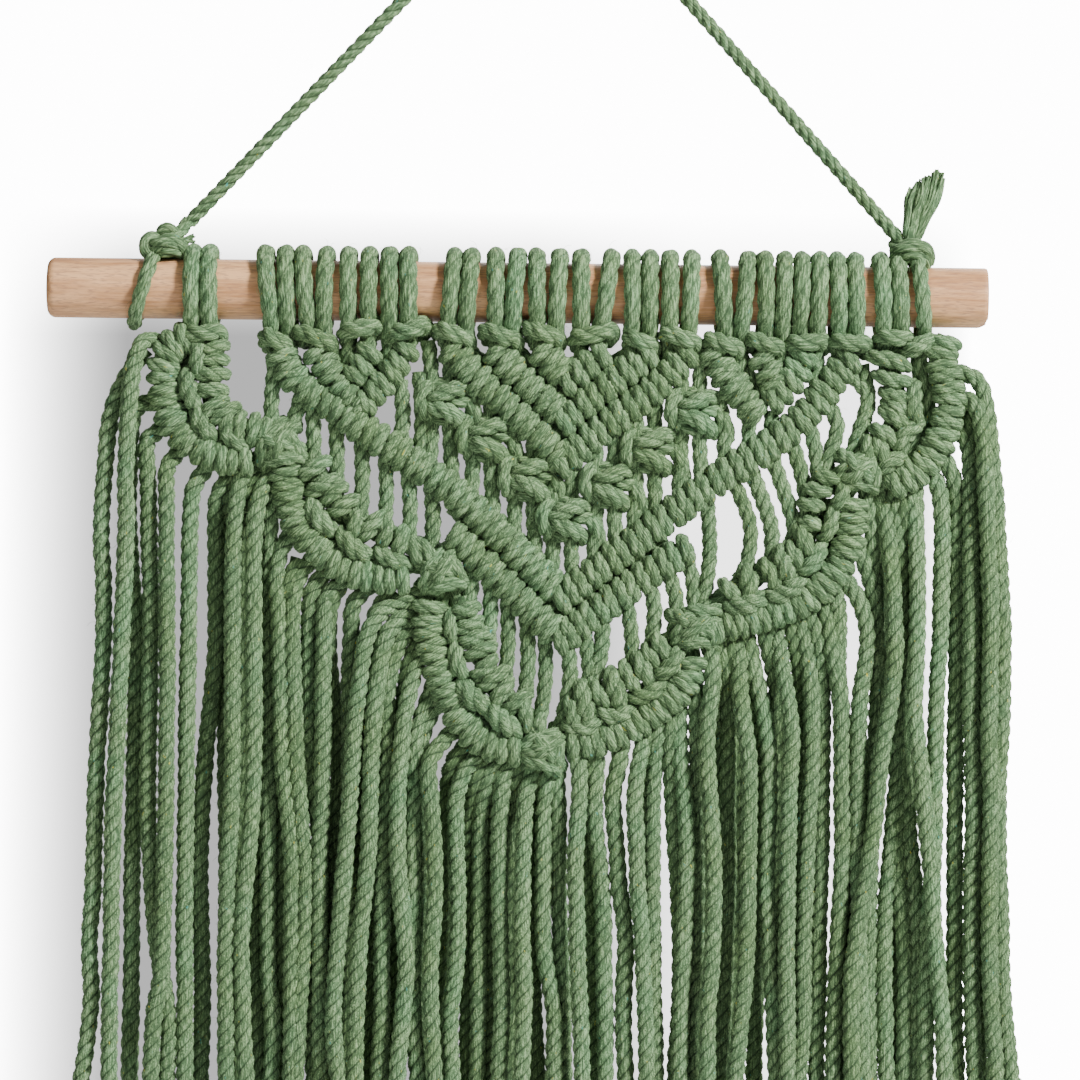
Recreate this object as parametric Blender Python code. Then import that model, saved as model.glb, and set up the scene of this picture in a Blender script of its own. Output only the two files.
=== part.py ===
"""A macrame wall hanging: green twisted cotton knotted onto a round wooden rod.

X runs along the rod to the right, Y away from the viewer and Z up. The origin is
under the bend of the hanging cord, where a nail or a hook carries the whole piece.
The knots are laid out on a square grid that is counted across from the left and
down from the top, as a knotter's chart is. The rod is ROD_SQUARES squares long.
"""

import math

import bmesh
import bpy
from mathutils import Vector

# Driving dimensions, in metres.
ROD_LENGTH = 0.250
ROD_DIAMETER = 0.016
ROD_EDGE_LEFT = 0.0022
ROD_EDGE_RIGHT = 0.0008
CORD = 0.0042
HANGING_CORD = 0.0036
HANGING_BEND = 0.009
HANGING_BEND_STEPS = 8
HANGING_RUN_STEPS = 5
BAR = 0.0076
SCALLOP_BAR = 0.0083
BAND = 0.0046
CLEARANCE = 0.0003
GAP = 0.0004

# Depths of the layers, with the rod's middle at 0 and the viewer's side negative.
PANEL_DEPTH = -0.0050
BAND_DEPTH = -0.0072
CORE_DEPTH = -0.0043
TIE_DEPTH = -0.0008
LAYER_STEP = 0.0046

# Ridges: the valley beside each as a share of its height, and the squares between two.
VALLEY = 0.76
MEAN_RIDGE = (1 + VALLEY) / 2
BAR_PITCH_SQUARES = 26
SCALLOP_PITCH_SQUARES = 24
CHAIN_PITCH_SQUARES = 32

# How deep each kind of knot is from front to back, as a share of its breadth.
SQUARE_KNOT_FLATNESS = 0.75
GATHER_FLATNESS = 0.9
TIE_FLATNESS = 0.62
CHAIN_FLATNESS = 0.66

# A loop round the rod: half the flattened cord, and the sag of its foot to the band.
LOOP_HALF = 0.42 * CORD
LOOP_DROOP = 0.0026
LOOP_SEGMENTS = 8
TIE_SEGMENTS = 12

# The chart: where the rod's middle is, how far the chart leans, and the hem.
ROD_SQUARES = 939
ROD_ACROSS = 517.5
ROD_DOWN = 292.8
CHART_LEAN = math.radians(0.67)
HEM_SIDE_DOWN = 1078
HEM_MIDDLE_DOWN = 1165
HEM_LEFT_ACROSS = 84
HEM_RIGHT_ACROSS = 1006
SQUARE = ROD_LENGTH / ROD_SQUARES

# Colours of the two finishes, linear.
COTTON_GREEN = (0.125, 0.262, 0.110, 1.0)
WOOD_BEIGE = (0.560, 0.360, 0.245, 1.0)

# Lark's heads on the rod: across at the rod's top and across below it, one row a strand.
LOOPS = (
    (194, 193), (210, 210),
    (266, 273), (286, 289), (303, 309), (327, 324), (349, 349), (370, 369),
    (390, 390), (409, 409),
    (455, 448), (472, 466), (496, 496), (518, 512), (537, 537), (560, 556),
    (581, 581), (612, 600), (632, 632), (650, 649), (670, 669), (692, 688),
    (720, 724), (748, 740), (765, 765), (785, 781), (802, 799), (820, 816),
    (837, 838), (855, 855),
    (880, 883), (897, 900),
)

# The fold of each lark's head makes a ridged band along the rod's underside:
# across of its start and end, down of its start and end, number of folds.
BANDS = (
    (191, 334, 226, 334, 1),
    (260, 341, 432, 330, 4),
    (434, 335, 700, 339, 6),
    (702, 339, 870, 344, 4),
    (874, 342, 904, 342, 1),
)

# Bars of diagonal double half hitches: across and down of the points they pass.
DIAGONALS = {
    "long_left": ((283, 352), (295, 376), (323, 406), (388, 448), (454, 492), (551, 588)),
    "long_right": ((851, 355), (832, 380), (759, 453), (680, 501), (610, 546), (566, 594)),
    "lower_left": ((453, 532), (474, 556), (509, 591), (556, 636)),
    "lower_right": ((683, 547), (646, 575), (582, 633), (562, 644)),
    "small_v_left": ((319, 350), (330, 368), (348, 395)),
    "small_v_right": ((416, 344), (402, 365), (364, 410)),
    "small_v_inner": ((371, 344), (351, 378)),
    "middle_v_left": ((452, 346), (493, 386), (560, 454)),
    "middle_v_left_2": ((502, 346), (526, 380), (562, 423)),
    "middle_v_left_3": ((544, 344), (564, 384)),
    "middle_v_right_3": ((591, 346), (568, 378)),
    "middle_v_right_2": ((642, 350), (604, 380), (560, 427)),
    "middle_v_right": ((682, 348), (648, 394), (612, 420), (561, 468)),
    "right_v_left": ((716, 350), (735, 378), (759, 414)),
    "right_v_left_2": ((757, 352), (779, 400)),
    "right_v_right": ((814, 352), (787, 386), (762, 420)),
}

# Square knots between the bars: across and down of each middle.
SQUARE_KNOTS = ((441, 403), (482, 438), (524, 478), (562, 519), (605, 485), (645, 450), (690, 412))
SQUARE_KNOT_SQUARES = (25, 21)

# The gathering knots that join one scallop to the next.
GATHERS = {
    "gather_1": (279, 446),
    "gather_2": (441, 571),
    "gather_3": (544, 747),
    "gather_4": (694, 628),
    "gather_5": (857, 471),
}
GATHER_SQUARES = (19, 17)

# Scallops, left to right: the carrier bar that bears the fringe, and the chain inside it.
SCALLOP_BARS = (
    ((167, 348), (163, 366), (165, 390), (172, 421), (190, 444), (216, 458), (248, 460)),
    ((286, 480), (288, 507), (305, 536), (328, 561), (364, 577), (404, 577)),
    ((429, 606), (432, 646), (439, 676), (460, 706), (482, 728), (513, 745)),
    ((579, 741), (619, 731), (652, 715), (679, 690), (690, 668)),
    ((738, 633), (781, 622), (814, 600), (836, 576), (845, 548), (847, 520)),
    ((911, 487), (932, 464), (946, 425), (948, 385), (947, 347)),
)
CHAINS = (
    ((214, 340), (205, 373), (209, 405), (232, 425), (272, 432)),
    ((284, 450), (318, 478), (332, 512), (362, 532), (420, 548), (436, 562)),
    ((446, 580), (464, 622), (470, 656), (487, 686), (510, 708), (536, 730)),
    ((548, 742), (587, 703), (623, 688), (650, 668), (684, 634)),
    ((700, 622), (726, 598), (762, 584), (795, 562), (813, 535), (822, 500), (848, 476)),
    ((864, 470), (886, 462), (900, 430), (900, 396), (889, 350)),
)
CHAIN_RADII_SQUARES = (20, 14.5, 13.5, 18, 18, 18)
CHAIN_REACH_SQUARES = 52

# Cords that run free between the bars: across and down of the top and of the foot.
FREE_CORDS = (
    (276, 366, 272, 436), (304, 392, 289, 440),
    (314, 404, 312, 486), (337, 418, 336, 520), (361, 432, 360, 536),
    (385, 448, 384, 546), (407, 462, 408, 548), (432, 480, 431, 562),
    (401, 380, 400, 452), (420, 372, 421, 464),
    (348, 392, 350, 420),
    (474, 556, 462, 640), (492, 576, 482, 690), (508, 590, 501, 712),
    (526, 608, 520, 722), (544, 626, 538, 735), (566, 640, 558, 735),
    (584, 632, 588, 712), (603, 616, 606, 704), (626, 594, 630, 694), (646, 576, 652, 678),
    (666, 560, 680, 640), (683, 548, 694, 615),
    (474, 506, 476, 556), (512, 544, 514, 592), (590, 566, 592, 624), (636, 530, 640, 580),
    (552, 584, 551, 640), (568, 584, 568, 645),
    (706, 492, 708, 612), (726, 474, 730, 592), (746, 462, 752, 584),
    (766, 448, 778, 570), (786, 430, 797, 552), (806, 410, 814, 528),
    (822, 394, 826, 492), (838, 374, 838, 476), (860, 360, 858, 460),
    (719, 394, 724, 476), (742, 392, 746, 458), (770, 412, 772, 446),
)
CORE_SIDE_SQUARES = 9
CORE_UP_SQUARES = 60
CORE_DOWN_SQUARES = 78

# Fringe of each scallop: across of each strand's foot, in the order of the roots
# along the bar. The front strands show; the back ones hang behind them.
FRINGES = (
    ((88, 110, 130, 150, 170, 189, 206, 228, 248, 268), (99, 126, 153, 180, 212, 240)),
    ((292, 309, 326, 344, 361, 377, 391, 404), (307, 329, 350, 370)),
    ((438, 457, 477, 499, 519, 539), (450, 478, 508)),
    ((562, 582, 604, 624, 646, 668), (574, 600, 628, 656)),
    ((694, 713, 735, 757, 780, 803, 826, 850), (706, 742, 780, 818)),
    ((880, 900, 920, 940, 957, 974, 991, 1006), (890, 922, 952, 980)),
)
ROOT_SHARES = ((0.03, 0.97), (0.20, 0.97), (0.36, 0.95), (0.03, 0.90), (0.08, 0.82), (0.03, 0.97))
LIP_REACH = 0.68
ROOT_INSET = 0.0017
SHOULDER_SQUARES = 62
SHOULDER_SHARE = 0.6

# The hanging cord: where it leaves each tie, and the middle of its bend.
CORD_LEFT = (189, 222.6)
CORD_RIGHT = (900, 240.3)
CORD_BEND = (550.5, -104.6)

# The ties: across and down of the knot, half its size, and how far its loop slants.
TIE_LEFT = {"knot": (163, 236), "half": (23, 12), "loop_top": 162, "loop_foot": 136}
TIE_RIGHT = {"knot": (919, 246), "half": (13, 13), "loop_top": 917, "loop_foot": 924}
STUB_RADIUS = 0.0012
STUB_LOCKS = ((176, 235, 192, 233),)
TAIL_RADIUS = 0.0017
LOCK_SPREAD = 0.0012
TAIL_LOCKS = (
    (915, 238, 907, 196), (917, 238, 916, 184), (919, 238, 927, 172),
    (921, 238, 938, 166), (923, 238, 943, 176),
)


def at(across, down, depth=0.0):
    """A place on the chart, in metres from the rod's middle."""
    right = across - ROD_ACROSS
    below = down - ROD_DOWN
    x = right * math.cos(CHART_LEAN) + below * math.sin(CHART_LEAN)
    z = right * math.sin(CHART_LEAN) - below * math.cos(CHART_LEAN)
    return Vector((x * SQUARE, depth, z * SQUARE))


def smooth(points, step):
    """Evenly spaced points, about step apart, on a smooth curve through the given ones."""
    fine = []
    last = len(points) - 1
    for i in range(last):
        a = points[max(i - 1, 0)]
        b = points[i]
        c = points[i + 1]
        d = points[min(i + 2, last)]
        for k in range(12):
            t = k / 12
            bend = (2 * a - 5 * b + 4 * c - d) * t * t + (3 * b - a - 3 * c + d) * t**3
            fine.append(b + 0.5 * ((c - a) * t + bend))
    fine.append(points[-1])
    lengths = [0.0]
    for p, q in zip(fine, fine[1:]):
        lengths.append(lengths[-1] + (q - p).length)
    count = max(2, round(lengths[-1] / step))
    even = []
    k = 0
    for i in range(count + 1):
        want = lengths[-1] * i / count
        while k < len(fine) - 2 and lengths[k + 1] < want:
            k += 1
        span = lengths[k + 1] - lengths[k]
        even.append(fine[k].lerp(fine[k + 1], (want - lengths[k]) / span))
    return even


def tube(points, radii, sides, side=Vector((0, 1, 0)), squash=1.0, closed=False, roll=0.0):
    """A closed mesh along the points: a ring of corners at each, squashed along side."""
    bm = bmesh.new()
    rings = []
    count = len(points)
    for i, p in enumerate(points):
        before = points[(i - 1) % count] if closed else points[max(i - 1, 0)]
        after = points[(i + 1) % count] if closed else points[min(i + 1, count - 1)]
        along = (after - before).normalized()
        side = (side - along * side.dot(along)).normalized()
        other = along.cross(side)
        ring = []
        for k in range(sides):
            angle = math.tau * k / sides + roll
            out = side * (math.cos(angle) * squash) + other * math.sin(angle)
            ring.append(bm.verts.new(p + out * radii[i]))
        rings.append(ring)
    pairs = list(zip(rings, rings[1:]))
    if closed:
        pairs.append((rings[-1], rings[0]))
    for low, high in pairs:
        for k in range(sides):
            n = (k + 1) % sides
            bm.faces.new((low[k], low[n], high[n], high[k]))
    if not closed:
        bm.faces.new(rings[0])
        bm.faces.new(rings[-1])
    bmesh.ops.recalc_face_normals(bm, faces=bm.faces)
    mesh = bpy.data.meshes.new("piece")
    bm.to_mesh(mesh)
    bm.free()
    return mesh


def ridged(points, thickness, pitch, sides=6, squash=1.0):
    """A bar of close hitches along the points, with one ridge for each pitch."""
    path = smooth(points, pitch / 2)
    radii = [thickness / 2 * (1.0 if i % 2 else VALLEY) for i in range(len(path))]
    return tube(path, radii, sides, squash=squash)


def knot(across, down, half_across, half_down, depth, squash):
    """A knot of two ridges, one above the other, narrowed at its top and foot."""
    levels = ((-1.0, 0.55), (-0.5, 1.0), (0.0, 0.82), (0.5, 1.0), (1.0, 0.55))
    path = [at(across, down + level * half_down, depth) for level, width in levels]
    radii = [width * half_across * SQUARE for level, width in levels]
    return tube(path, radii, 6, squash=squash)


def strand(root, lip, shoulder, foot, sides):
    """A fringe strand: out of the bar over its lip, down past its shoulder to the foot."""
    bend = smooth([root, lip, shoulder, foot], 0.002)
    path = [bend[i] for i in (0, 2, 4, 8, 15)] + [foot]
    return tube(path, [CORD / 2] * len(path), sides)


def rod_loop(top_across, foot_across, segments, clearance, droop):
    """A flat-sided turn of cord all round the rod, drawn down below it to its knot."""
    inside = ROD_DIAMETER / 2 + clearance + LOOP_HALF
    reach = inside / math.cos(math.pi / segments)
    middle = (top_across + foot_across) / 2
    slant = (top_across - foot_across) / 2
    path = []
    for i in range(segments):
        angle = math.tau * (i + 0.5) / segments
        away = reach + droop * max(0.0, -math.sin(angle)) ** 2
        x = at(middle + slant * math.sin(angle), ROD_DOWN).x
        path.append(Vector((x, -away * math.cos(angle), away * math.sin(angle))))
    corner = LOOP_HALF * math.sqrt(2)
    right = Vector((1, 0, 0))
    return tube(path, [corner] * segments, 4, side=right, closed=True, roll=math.pi / 4)


def hugged(points, others, distance, reach):
    """The points, with those within reach of the others brought to lie at the distance."""
    moved = []
    for p in points:
        nearest = min(others, key=lambda q: (p - q).length)
        away = p - nearest
        inner = nearest not in (others[0], others[-1])
        if away.length < distance or (inner and away.length < reach):
            p = nearest + away.normalized() * distance
        moved.append(p)
    return moved


def outer_shell(mesh):
    """The mesh without the walls of pockets and slivers that a union leaves behind."""
    bm = bmesh.new()
    bm.from_mesh(mesh)
    bmesh.ops.remove_doubles(bm, verts=bm.verts, dist=1e-7)
    left = set(bm.faces)
    shells = []
    while left:
        stack = [left.pop()]
        shell = set(stack)
        while stack:
            seams = [edge for edge in stack.pop().edges if len(edge.link_faces) == 2]
            for face in (face for edge in seams for face in edge.link_faces):
                if face in left:
                    left.discard(face)
                    shell.add(face)
                    stack.append(face)
        shells.append(list(shell))
    shells.sort(key=len)
    for shell in shells[:-1]:
        bmesh.ops.delete(bm, geom=shell, context="FACES")
    bm.to_mesh(mesh)
    bm.free()
    return mesh


def finish(name, mesh, material):
    """The named object of a finished mesh, placed at the rod's middle."""
    mesh.name = name
    mesh.materials.clear()
    mesh.materials.append(material)
    mesh.shade_smooth()
    mesh.set_sharp_from_angle(angle=math.radians(50))
    piece = bpy.data.objects.new(name, mesh)
    piece.location = ROD_MIDDLE
    bpy.context.scene.collection.objects.link(piece)
    return piece


def fuse(name, meshes, material):
    """One solid made of the meshes by a Boolean union."""
    scene = bpy.context.scene.collection
    joined = bpy.data.objects.new(name + "_start", meshes[0])
    scene.objects.link(joined)
    group = bpy.data.collections.new(name + "_rest")
    scene.children.link(group)
    for mesh in meshes[1:]:
        helper = bpy.data.objects.new(name + "_helper", mesh)
        group.objects.link(helper)
    union = joined.modifiers.new("union", "BOOLEAN")
    union.operation = "UNION"
    union.solver = "EXACT"
    union.operand_type = "COLLECTION"
    union.collection = group
    depsgraph = bpy.context.evaluated_depsgraph_get()
    mesh = bpy.data.meshes.new_from_object(joined.evaluated_get(depsgraph))
    for helper in list(group.objects):
        bpy.data.objects.remove(helper)
    bpy.data.collections.remove(group)
    bpy.data.objects.remove(joined)
    return finish(name, outer_shell(mesh), material)


def finish_material(name, colour, roughness):
    material = bpy.data.materials.new(name)
    material.use_nodes = True
    shader = material.node_tree.nodes["Principled BSDF"]
    shader.inputs["Base Color"].default_value = colour
    shader.inputs["Roughness"].default_value = roughness
    shader.inputs["Metallic"].default_value = 0.0
    return material


def hanging_route():
    """The hanging cord's centreline, from the left tie over the bend to the right tie."""
    left = at(*CORD_LEFT)
    right = at(*CORD_RIGHT)
    bend = BEND_CENTRE
    reach = HANGING_BEND
    points = []
    for foot, turn in ((left, 1), (right, -1)):
        away = foot - bend
        distance = away.length
        lean = math.acos(reach / distance)
        heading = math.atan2(away.z, away.x) - turn * lean
        touch = bend + Vector((math.cos(heading), 0, math.sin(heading))) * reach
        points.append((foot, touch, heading))
    (left, left_touch, start), (right, right_touch, end) = points
    if start < end:
        start += math.tau
    arc = []
    for i in range(1, HANGING_BEND_STEPS):
        angle = start + (end - start) * i / HANGING_BEND_STEPS
        arc.append(bend + Vector((math.cos(angle), 0, math.sin(angle))) * reach)
    steps = HANGING_RUN_STEPS
    up = [left.lerp(left_touch, i / steps) for i in range(steps)]
    down = [right_touch.lerp(right, i / steps) for i in range(1, steps + 1)]
    return up + [left_touch] + arc + [right_touch] + down


def build_rod():
    half = ROD_LENGTH / 2
    radius = ROD_DIAMETER / 2
    left = ROD_EDGE_LEFT
    right = ROD_EDGE_RIGHT
    profile = [
        (-half, radius - left), (-half + left * 0.3, radius - left * 0.3),
        (-half + left, radius), (half - right, radius), (half, radius - right),
    ]
    path = [Vector((x, 0, 0)) for x, r in profile]
    mesh = tube(path, [r for x, r in profile], 28)
    finish("rod", mesh, wood)


def build_hanging_cord():
    line = bpy.data.curves.new("hanging_cord", "CURVE")
    line.dimensions = "3D"
    line.bevel_depth = HANGING_CORD / 2
    line.bevel_resolution = 2
    line.use_fill_caps = True
    route = hanging_route()
    spline = line.splines.new("POLY")
    spline.points.add(len(route) - 1)
    for point, place in zip(spline.points, route):
        point.co = (*place, 1)
    cord = bpy.data.objects.new("hanging_cord", line)
    cord.location = ROD_MIDDLE
    line.materials.append(cotton)
    bpy.context.scene.collection.objects.link(cord)


def locks(rows, root_radius, depth):
    """Tapered locks of frayed cord, one for each row of root and tip."""
    meshes = []
    for i, (across, down, tip_across, tip_down) in enumerate(rows):
        root = at(across, down, depth)
        tip = at(tip_across, tip_down, depth + LOCK_SPREAD * ((i % 3) - 1))
        belly = root.lerp(tip, 0.6)
        radii = [root_radius, root_radius * 1.25, root_radius * 0.5]
        meshes.append(tube([root, belly, tip], radii, 5))
    return meshes


def build_tie(name, tie, lock_rows, lock_radius):
    loop = rod_loop(tie["loop_top"], tie["loop_foot"], TIE_SEGMENTS, 3 * CLEARANCE, 0)
    lump = knot(*tie["knot"], *tie["half"], TIE_DEPTH, TIE_FLATNESS)
    fuse(name, [loop, lump] + locks(lock_rows, lock_radius, TIE_DEPTH), cotton)


def build_panel():
    """The knotted net: loops on the rod, bands, bars, square knots, chains and free cords."""
    meshes = [rod_loop(top, foot, LOOP_SEGMENTS, CLEARANCE, LOOP_DROOP) for top, foot in LOOPS]
    for across, down, end_across, end_down, folds in BANDS:
        ends = [at(across, down, BAND_DEPTH), at(end_across, end_down, BAND_DEPTH)]
        meshes.append(ridged(ends, BAND, (ends[1] - ends[0]).length / (folds + 0.5)))
    for points in DIAGONALS.values():
        places = [at(a, d, PANEL_DEPTH) for a, d in points]
        meshes.append(ridged(places, BAR, BAR_PITCH_SQUARES * SQUARE, sides=5))
    for across, down in SQUARE_KNOTS:
        meshes.append(knot(across, down, *SQUARE_KNOT_SQUARES, PANEL_DEPTH, SQUARE_KNOT_FLATNESS))
        for side in (-CORE_SIDE_SQUARES, CORE_SIDE_SQUARES):
            top = at(across + side, down - CORE_UP_SQUARES, CORE_DEPTH)
            foot = at(across + side, down + CORE_DOWN_SQUARES, CORE_DEPTH)
            meshes.append(tube([top, foot], [CORD / 2] * 2, 4))
    for across, down in GATHERS.values():
        meshes.append(knot(across, down, *GATHER_SQUARES, PANEL_DEPTH, GATHER_FLATNESS))
    for chain, bar, radius in zip(CHAINS, SCALLOP_BARS, CHAIN_RADII_SQUARES):
        bar_line = smooth([at(a, d, PANEL_DEPTH) for a, d in bar], 0.001)
        line = smooth([at(a, d, PANEL_DEPTH) for a, d in chain], 0.004)
        room = MEAN_RIDGE * (radius * SQUARE + SCALLOP_BAR / 2) + GAP
        line = hugged(line, bar_line, room, CHAIN_REACH_SQUARES * SQUARE)
        pitch = CHAIN_PITCH_SQUARES * SQUARE
        meshes.append(ridged(line, 2 * radius * SQUARE, pitch, squash=CHAIN_FLATNESS))
    for across, down, foot_across, foot_down in FREE_CORDS:
        ends = [at(across, down, PANEL_DEPTH), at(foot_across, foot_down, PANEL_DEPTH)]
        meshes.append(tube(ends, [CORD / 2] * 2, 4))
    fuse("knotted_panel", meshes, cotton)


def hem_down(across):
    """How far down a strand that ends at this place across is trimmed."""
    middle = (HEM_LEFT_ACROSS + HEM_RIGHT_ACROSS) / 2
    share = abs(across - middle) / ((HEM_RIGHT_ACROSS - HEM_LEFT_ACROSS) / 2)
    return HEM_MIDDLE_DOWN + (HEM_SIDE_DOWN - HEM_MIDDLE_DOWN) * min(share, 1.0) ** 1.5


def build_fringe(name, bar, front, back, first, last):
    """A scallop's carrier bar with the fringe that hangs from it."""
    places = [at(a, d, PANEL_DEPTH) for a, d in bar]
    meshes = [ridged(places, SCALLOP_BAR, SCALLOP_PITCH_SQUARES * SQUARE)]
    line = smooth(places, 0.001)
    rows = [(foot, i / (len(front) - 1), -1 + i % 2) for i, foot in enumerate(front)]
    rows += [(foot, (i + 0.5) / len(back), 1) for i, foot in enumerate(back)]
    for foot, share, layer in rows:
        index = round((first + (last - first) * share) * (len(line) - 1))
        along = (line[min(index + 1, len(line) - 1)] - line[max(index - 1, 0)]).normalized()
        out = Vector((along.z, 0, -along.x))
        depth = PANEL_DEPTH + layer * LAYER_STEP
        foot_place = at(foot, hem_down(foot), depth)
        root = line[index].copy()
        root.y = depth - layer * ROOT_INSET
        lip = root + out * SCALLOP_BAR * LIP_REACH
        lip.y = depth
        shoulder = lip.lerp(root, 0.5) + Vector((0, 0, -SHOULDER_SQUARES * SQUARE))
        shoulder.x += (foot_place.x - shoulder.x) * SHOULDER_SHARE
        shoulder.y = depth
        meshes.append(strand(root, lip, shoulder, foot_place, 4 if layer < 1 else 3))
    fuse(name, meshes, cotton)


for thing in list(bpy.data.objects):
    bpy.data.objects.remove(thing)

cotton = finish_material("cotton_cord", COTTON_GREEN, 0.9)
wood = finish_material("rod_wood", WOOD_BEIGE, 0.55)

# The bend's centre lies below the point where the cord's two straight runs would meet.
BEND_CENTRE = at(*CORD_BEND)
ROD_MIDDLE = Vector((-BEND_CENTRE.x, 0, HANGING_CORD / 2 - HANGING_BEND - BEND_CENTRE.z))

build_rod()
build_hanging_cord()
build_tie("tie_left", TIE_LEFT, STUB_LOCKS, STUB_RADIUS)
build_tie("tie_right", TIE_RIGHT, TAIL_LOCKS, TAIL_RADIUS)
build_panel()
for number, (scallop, feet, ends) in enumerate(zip(SCALLOP_BARS, FRINGES, ROOT_SHARES), 1):
    build_fringe(f"fringe_{number}", scallop, *feet, *ends)
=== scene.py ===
"""A macrame wall hanging of green twisted cotton on a round wooden rod.

The knots are laid out on a knotter's chart, whose squares are counted across from the
left and down from the top, with depth in squares towards the viewer. The rod is
ROD_SQUARES squares long, and its middle is at (ROD_ACROSS, ROD_DOWN, 0).
"""

import math
import random
from collections import namedtuple
from functools import partial

import bpy
from mathutils import Matrix, Vector


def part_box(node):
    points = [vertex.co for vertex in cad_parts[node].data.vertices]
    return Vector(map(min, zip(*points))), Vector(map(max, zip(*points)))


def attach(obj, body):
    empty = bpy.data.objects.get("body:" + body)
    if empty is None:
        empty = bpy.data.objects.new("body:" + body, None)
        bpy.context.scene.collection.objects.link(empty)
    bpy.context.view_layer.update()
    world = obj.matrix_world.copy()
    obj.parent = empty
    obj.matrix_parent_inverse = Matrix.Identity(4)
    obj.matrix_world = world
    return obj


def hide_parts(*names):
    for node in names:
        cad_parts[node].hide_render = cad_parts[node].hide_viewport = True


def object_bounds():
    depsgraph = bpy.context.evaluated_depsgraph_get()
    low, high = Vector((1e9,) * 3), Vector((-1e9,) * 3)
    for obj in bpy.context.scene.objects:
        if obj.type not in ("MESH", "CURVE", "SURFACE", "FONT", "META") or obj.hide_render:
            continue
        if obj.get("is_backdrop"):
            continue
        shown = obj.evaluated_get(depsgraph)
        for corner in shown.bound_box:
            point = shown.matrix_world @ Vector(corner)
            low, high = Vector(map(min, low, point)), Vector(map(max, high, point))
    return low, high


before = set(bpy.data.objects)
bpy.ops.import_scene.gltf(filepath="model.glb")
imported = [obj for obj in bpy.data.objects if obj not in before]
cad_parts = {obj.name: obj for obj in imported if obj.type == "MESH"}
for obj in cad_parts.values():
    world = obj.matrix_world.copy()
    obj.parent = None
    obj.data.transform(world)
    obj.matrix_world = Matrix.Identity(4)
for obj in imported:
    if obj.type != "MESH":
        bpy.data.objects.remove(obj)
cad_low, cad_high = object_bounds()

# The camera: level and straight in front, one and a half metres away. It is rolled by the
# small angle at which the rod hangs, so the rod falls to the right in the picture.
ROD_SQUARES = 939
ROD_ACROSS = 517.5
ROD_DOWN = 292.8
CHART_LEAN = math.radians(0.67)
PICTURE_SQUARES = 1080
CAMERA_DISTANCE = 1.5

rod_low, rod_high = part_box("rod")
ROD_MIDDLE = (rod_low + rod_high) / 2
SQUARE = (rod_high.x - rod_low.x) / ROD_SQUARES


def at(across, down, depth=0.0):
    """A place on the chart as a point in the room."""
    right = across - ROD_ACROSS
    below = down - ROD_DOWN
    x = right * math.cos(CHART_LEAN) + below * math.sin(CHART_LEAN)
    z = right * math.sin(CHART_LEAN) - below * math.cos(CHART_LEAN)
    return ROD_MIDDLE + Vector((x, -depth, z)) * SQUARE


lens = bpy.data.cameras.new("camera")
lens.sensor_width = 36
lens.lens = lens.sensor_width * CAMERA_DISTANCE / (PICTURE_SQUARES * SQUARE)
camera = bpy.data.objects.new("camera", lens)
aim = at(PICTURE_SQUARES / 2, PICTURE_SQUARES / 2)
roll = Matrix.Rotation(-CHART_LEAN, 4, "Y") @ Matrix.Rotation(math.pi / 2, 4, "X")
camera.matrix_world = Matrix.Translation(aim - Vector((0, CAMERA_DISTANCE, 0))) @ roll
bpy.context.scene.collection.objects.link(camera)
bpy.context.scene.camera = camera

# The hanging cord: one length of three-ply twisted cotton, a little thinner than the
# knotting cord because it is pulled straight. It runs from tie to tie over a nail.
HANGING_THICKNESS = 0.0036
HANGING_BEND = 0.009
CORD_LEFT = (189, 222.6)
CORD_RIGHT = (900, 240.3)
CORD_BEND = (550.5, -104.6)
BEND_STEPS, SIDE_STEPS = 12, 14
LAY = 42
# A three-lobed section looks thinner than the circle round it.
FULLNESS = 1.10
FIBRE_DARK = (0.051, 0.093, 0.043, 1)
FIBRE_MID = (0.093, 0.168, 0.073, 1)
FIBRE_LIGHT = (0.248, 0.368, 0.184, 1)
# Painted shade for the ply grooves, where shade falls between the plies.
GROOVE_PAINTED_SHADE = (0.014, 0.028, 0.014, 1)
TEAL_TINT = (0.62, 0.98, 1.00, 1)
OLIVE_TINT = (1.00, 0.94, 0.72, 1)
FLECK_YELLOW = (0.50, 0.45, 0.04, 1)
FLECK_BLUE = (0.05, 0.30, 0.26, 1)
SHEEN_GREEN = (0.60, 0.85, 0.50, 1)
# A stray hair: the ends and handles of its bow, and its radius.
HAIR_BOW = ((0, 0, 0), (0.0002, 0, 0.0009), (0.0014, 0.0002, 0.0010), (0.0022, 0, 0.0006))
HAIR_RADIUS = 0.000026


def feed(socket, value):
    """Links an output to this input, or sets the input to a plain value."""
    if isinstance(value, bpy.types.NodeSocket):
        socket.id_data.links.new(value, socket)
    elif value is not None:
        socket.default_value = value


def add_node(tree, kind, *inputs, **given):
    """A node of the tree, with inputs in order or by name, and settings in small letters."""
    made = tree.nodes.new(kind)
    for name, value in given.items():
        if name.islower():
            setattr(made, name, value)
    for socket, value in zip(made.inputs, inputs):
        feed(socket, value)
    for name, value in given.items():
        if not name.islower():
            feed(made.inputs[name], value)
    return made


def wire(tree, kind, *inputs, **given):
    """The first output of such a node."""
    return add_node(tree, kind, *inputs, **given).outputs[0]


def sums(operation, *inputs):
    """A sum of outputs and numbers, in the tree of the first output among them."""
    tree = next(value.id_data for value in inputs if isinstance(value, bpy.types.NodeSocket))
    return wire(tree, "ShaderNodeMath", *inputs, operation=operation)


plus, minus, times, over = (partial(sums, name) for name in ("ADD", "SUBTRACT", "MULTIPLY", "DIVIDE"))


def spread(value, low, high, out_low=0.0, out_high=1.0):
    return wire(value.id_data, "ShaderNodeMapRange", value, low, high, out_low, out_high)


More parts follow.
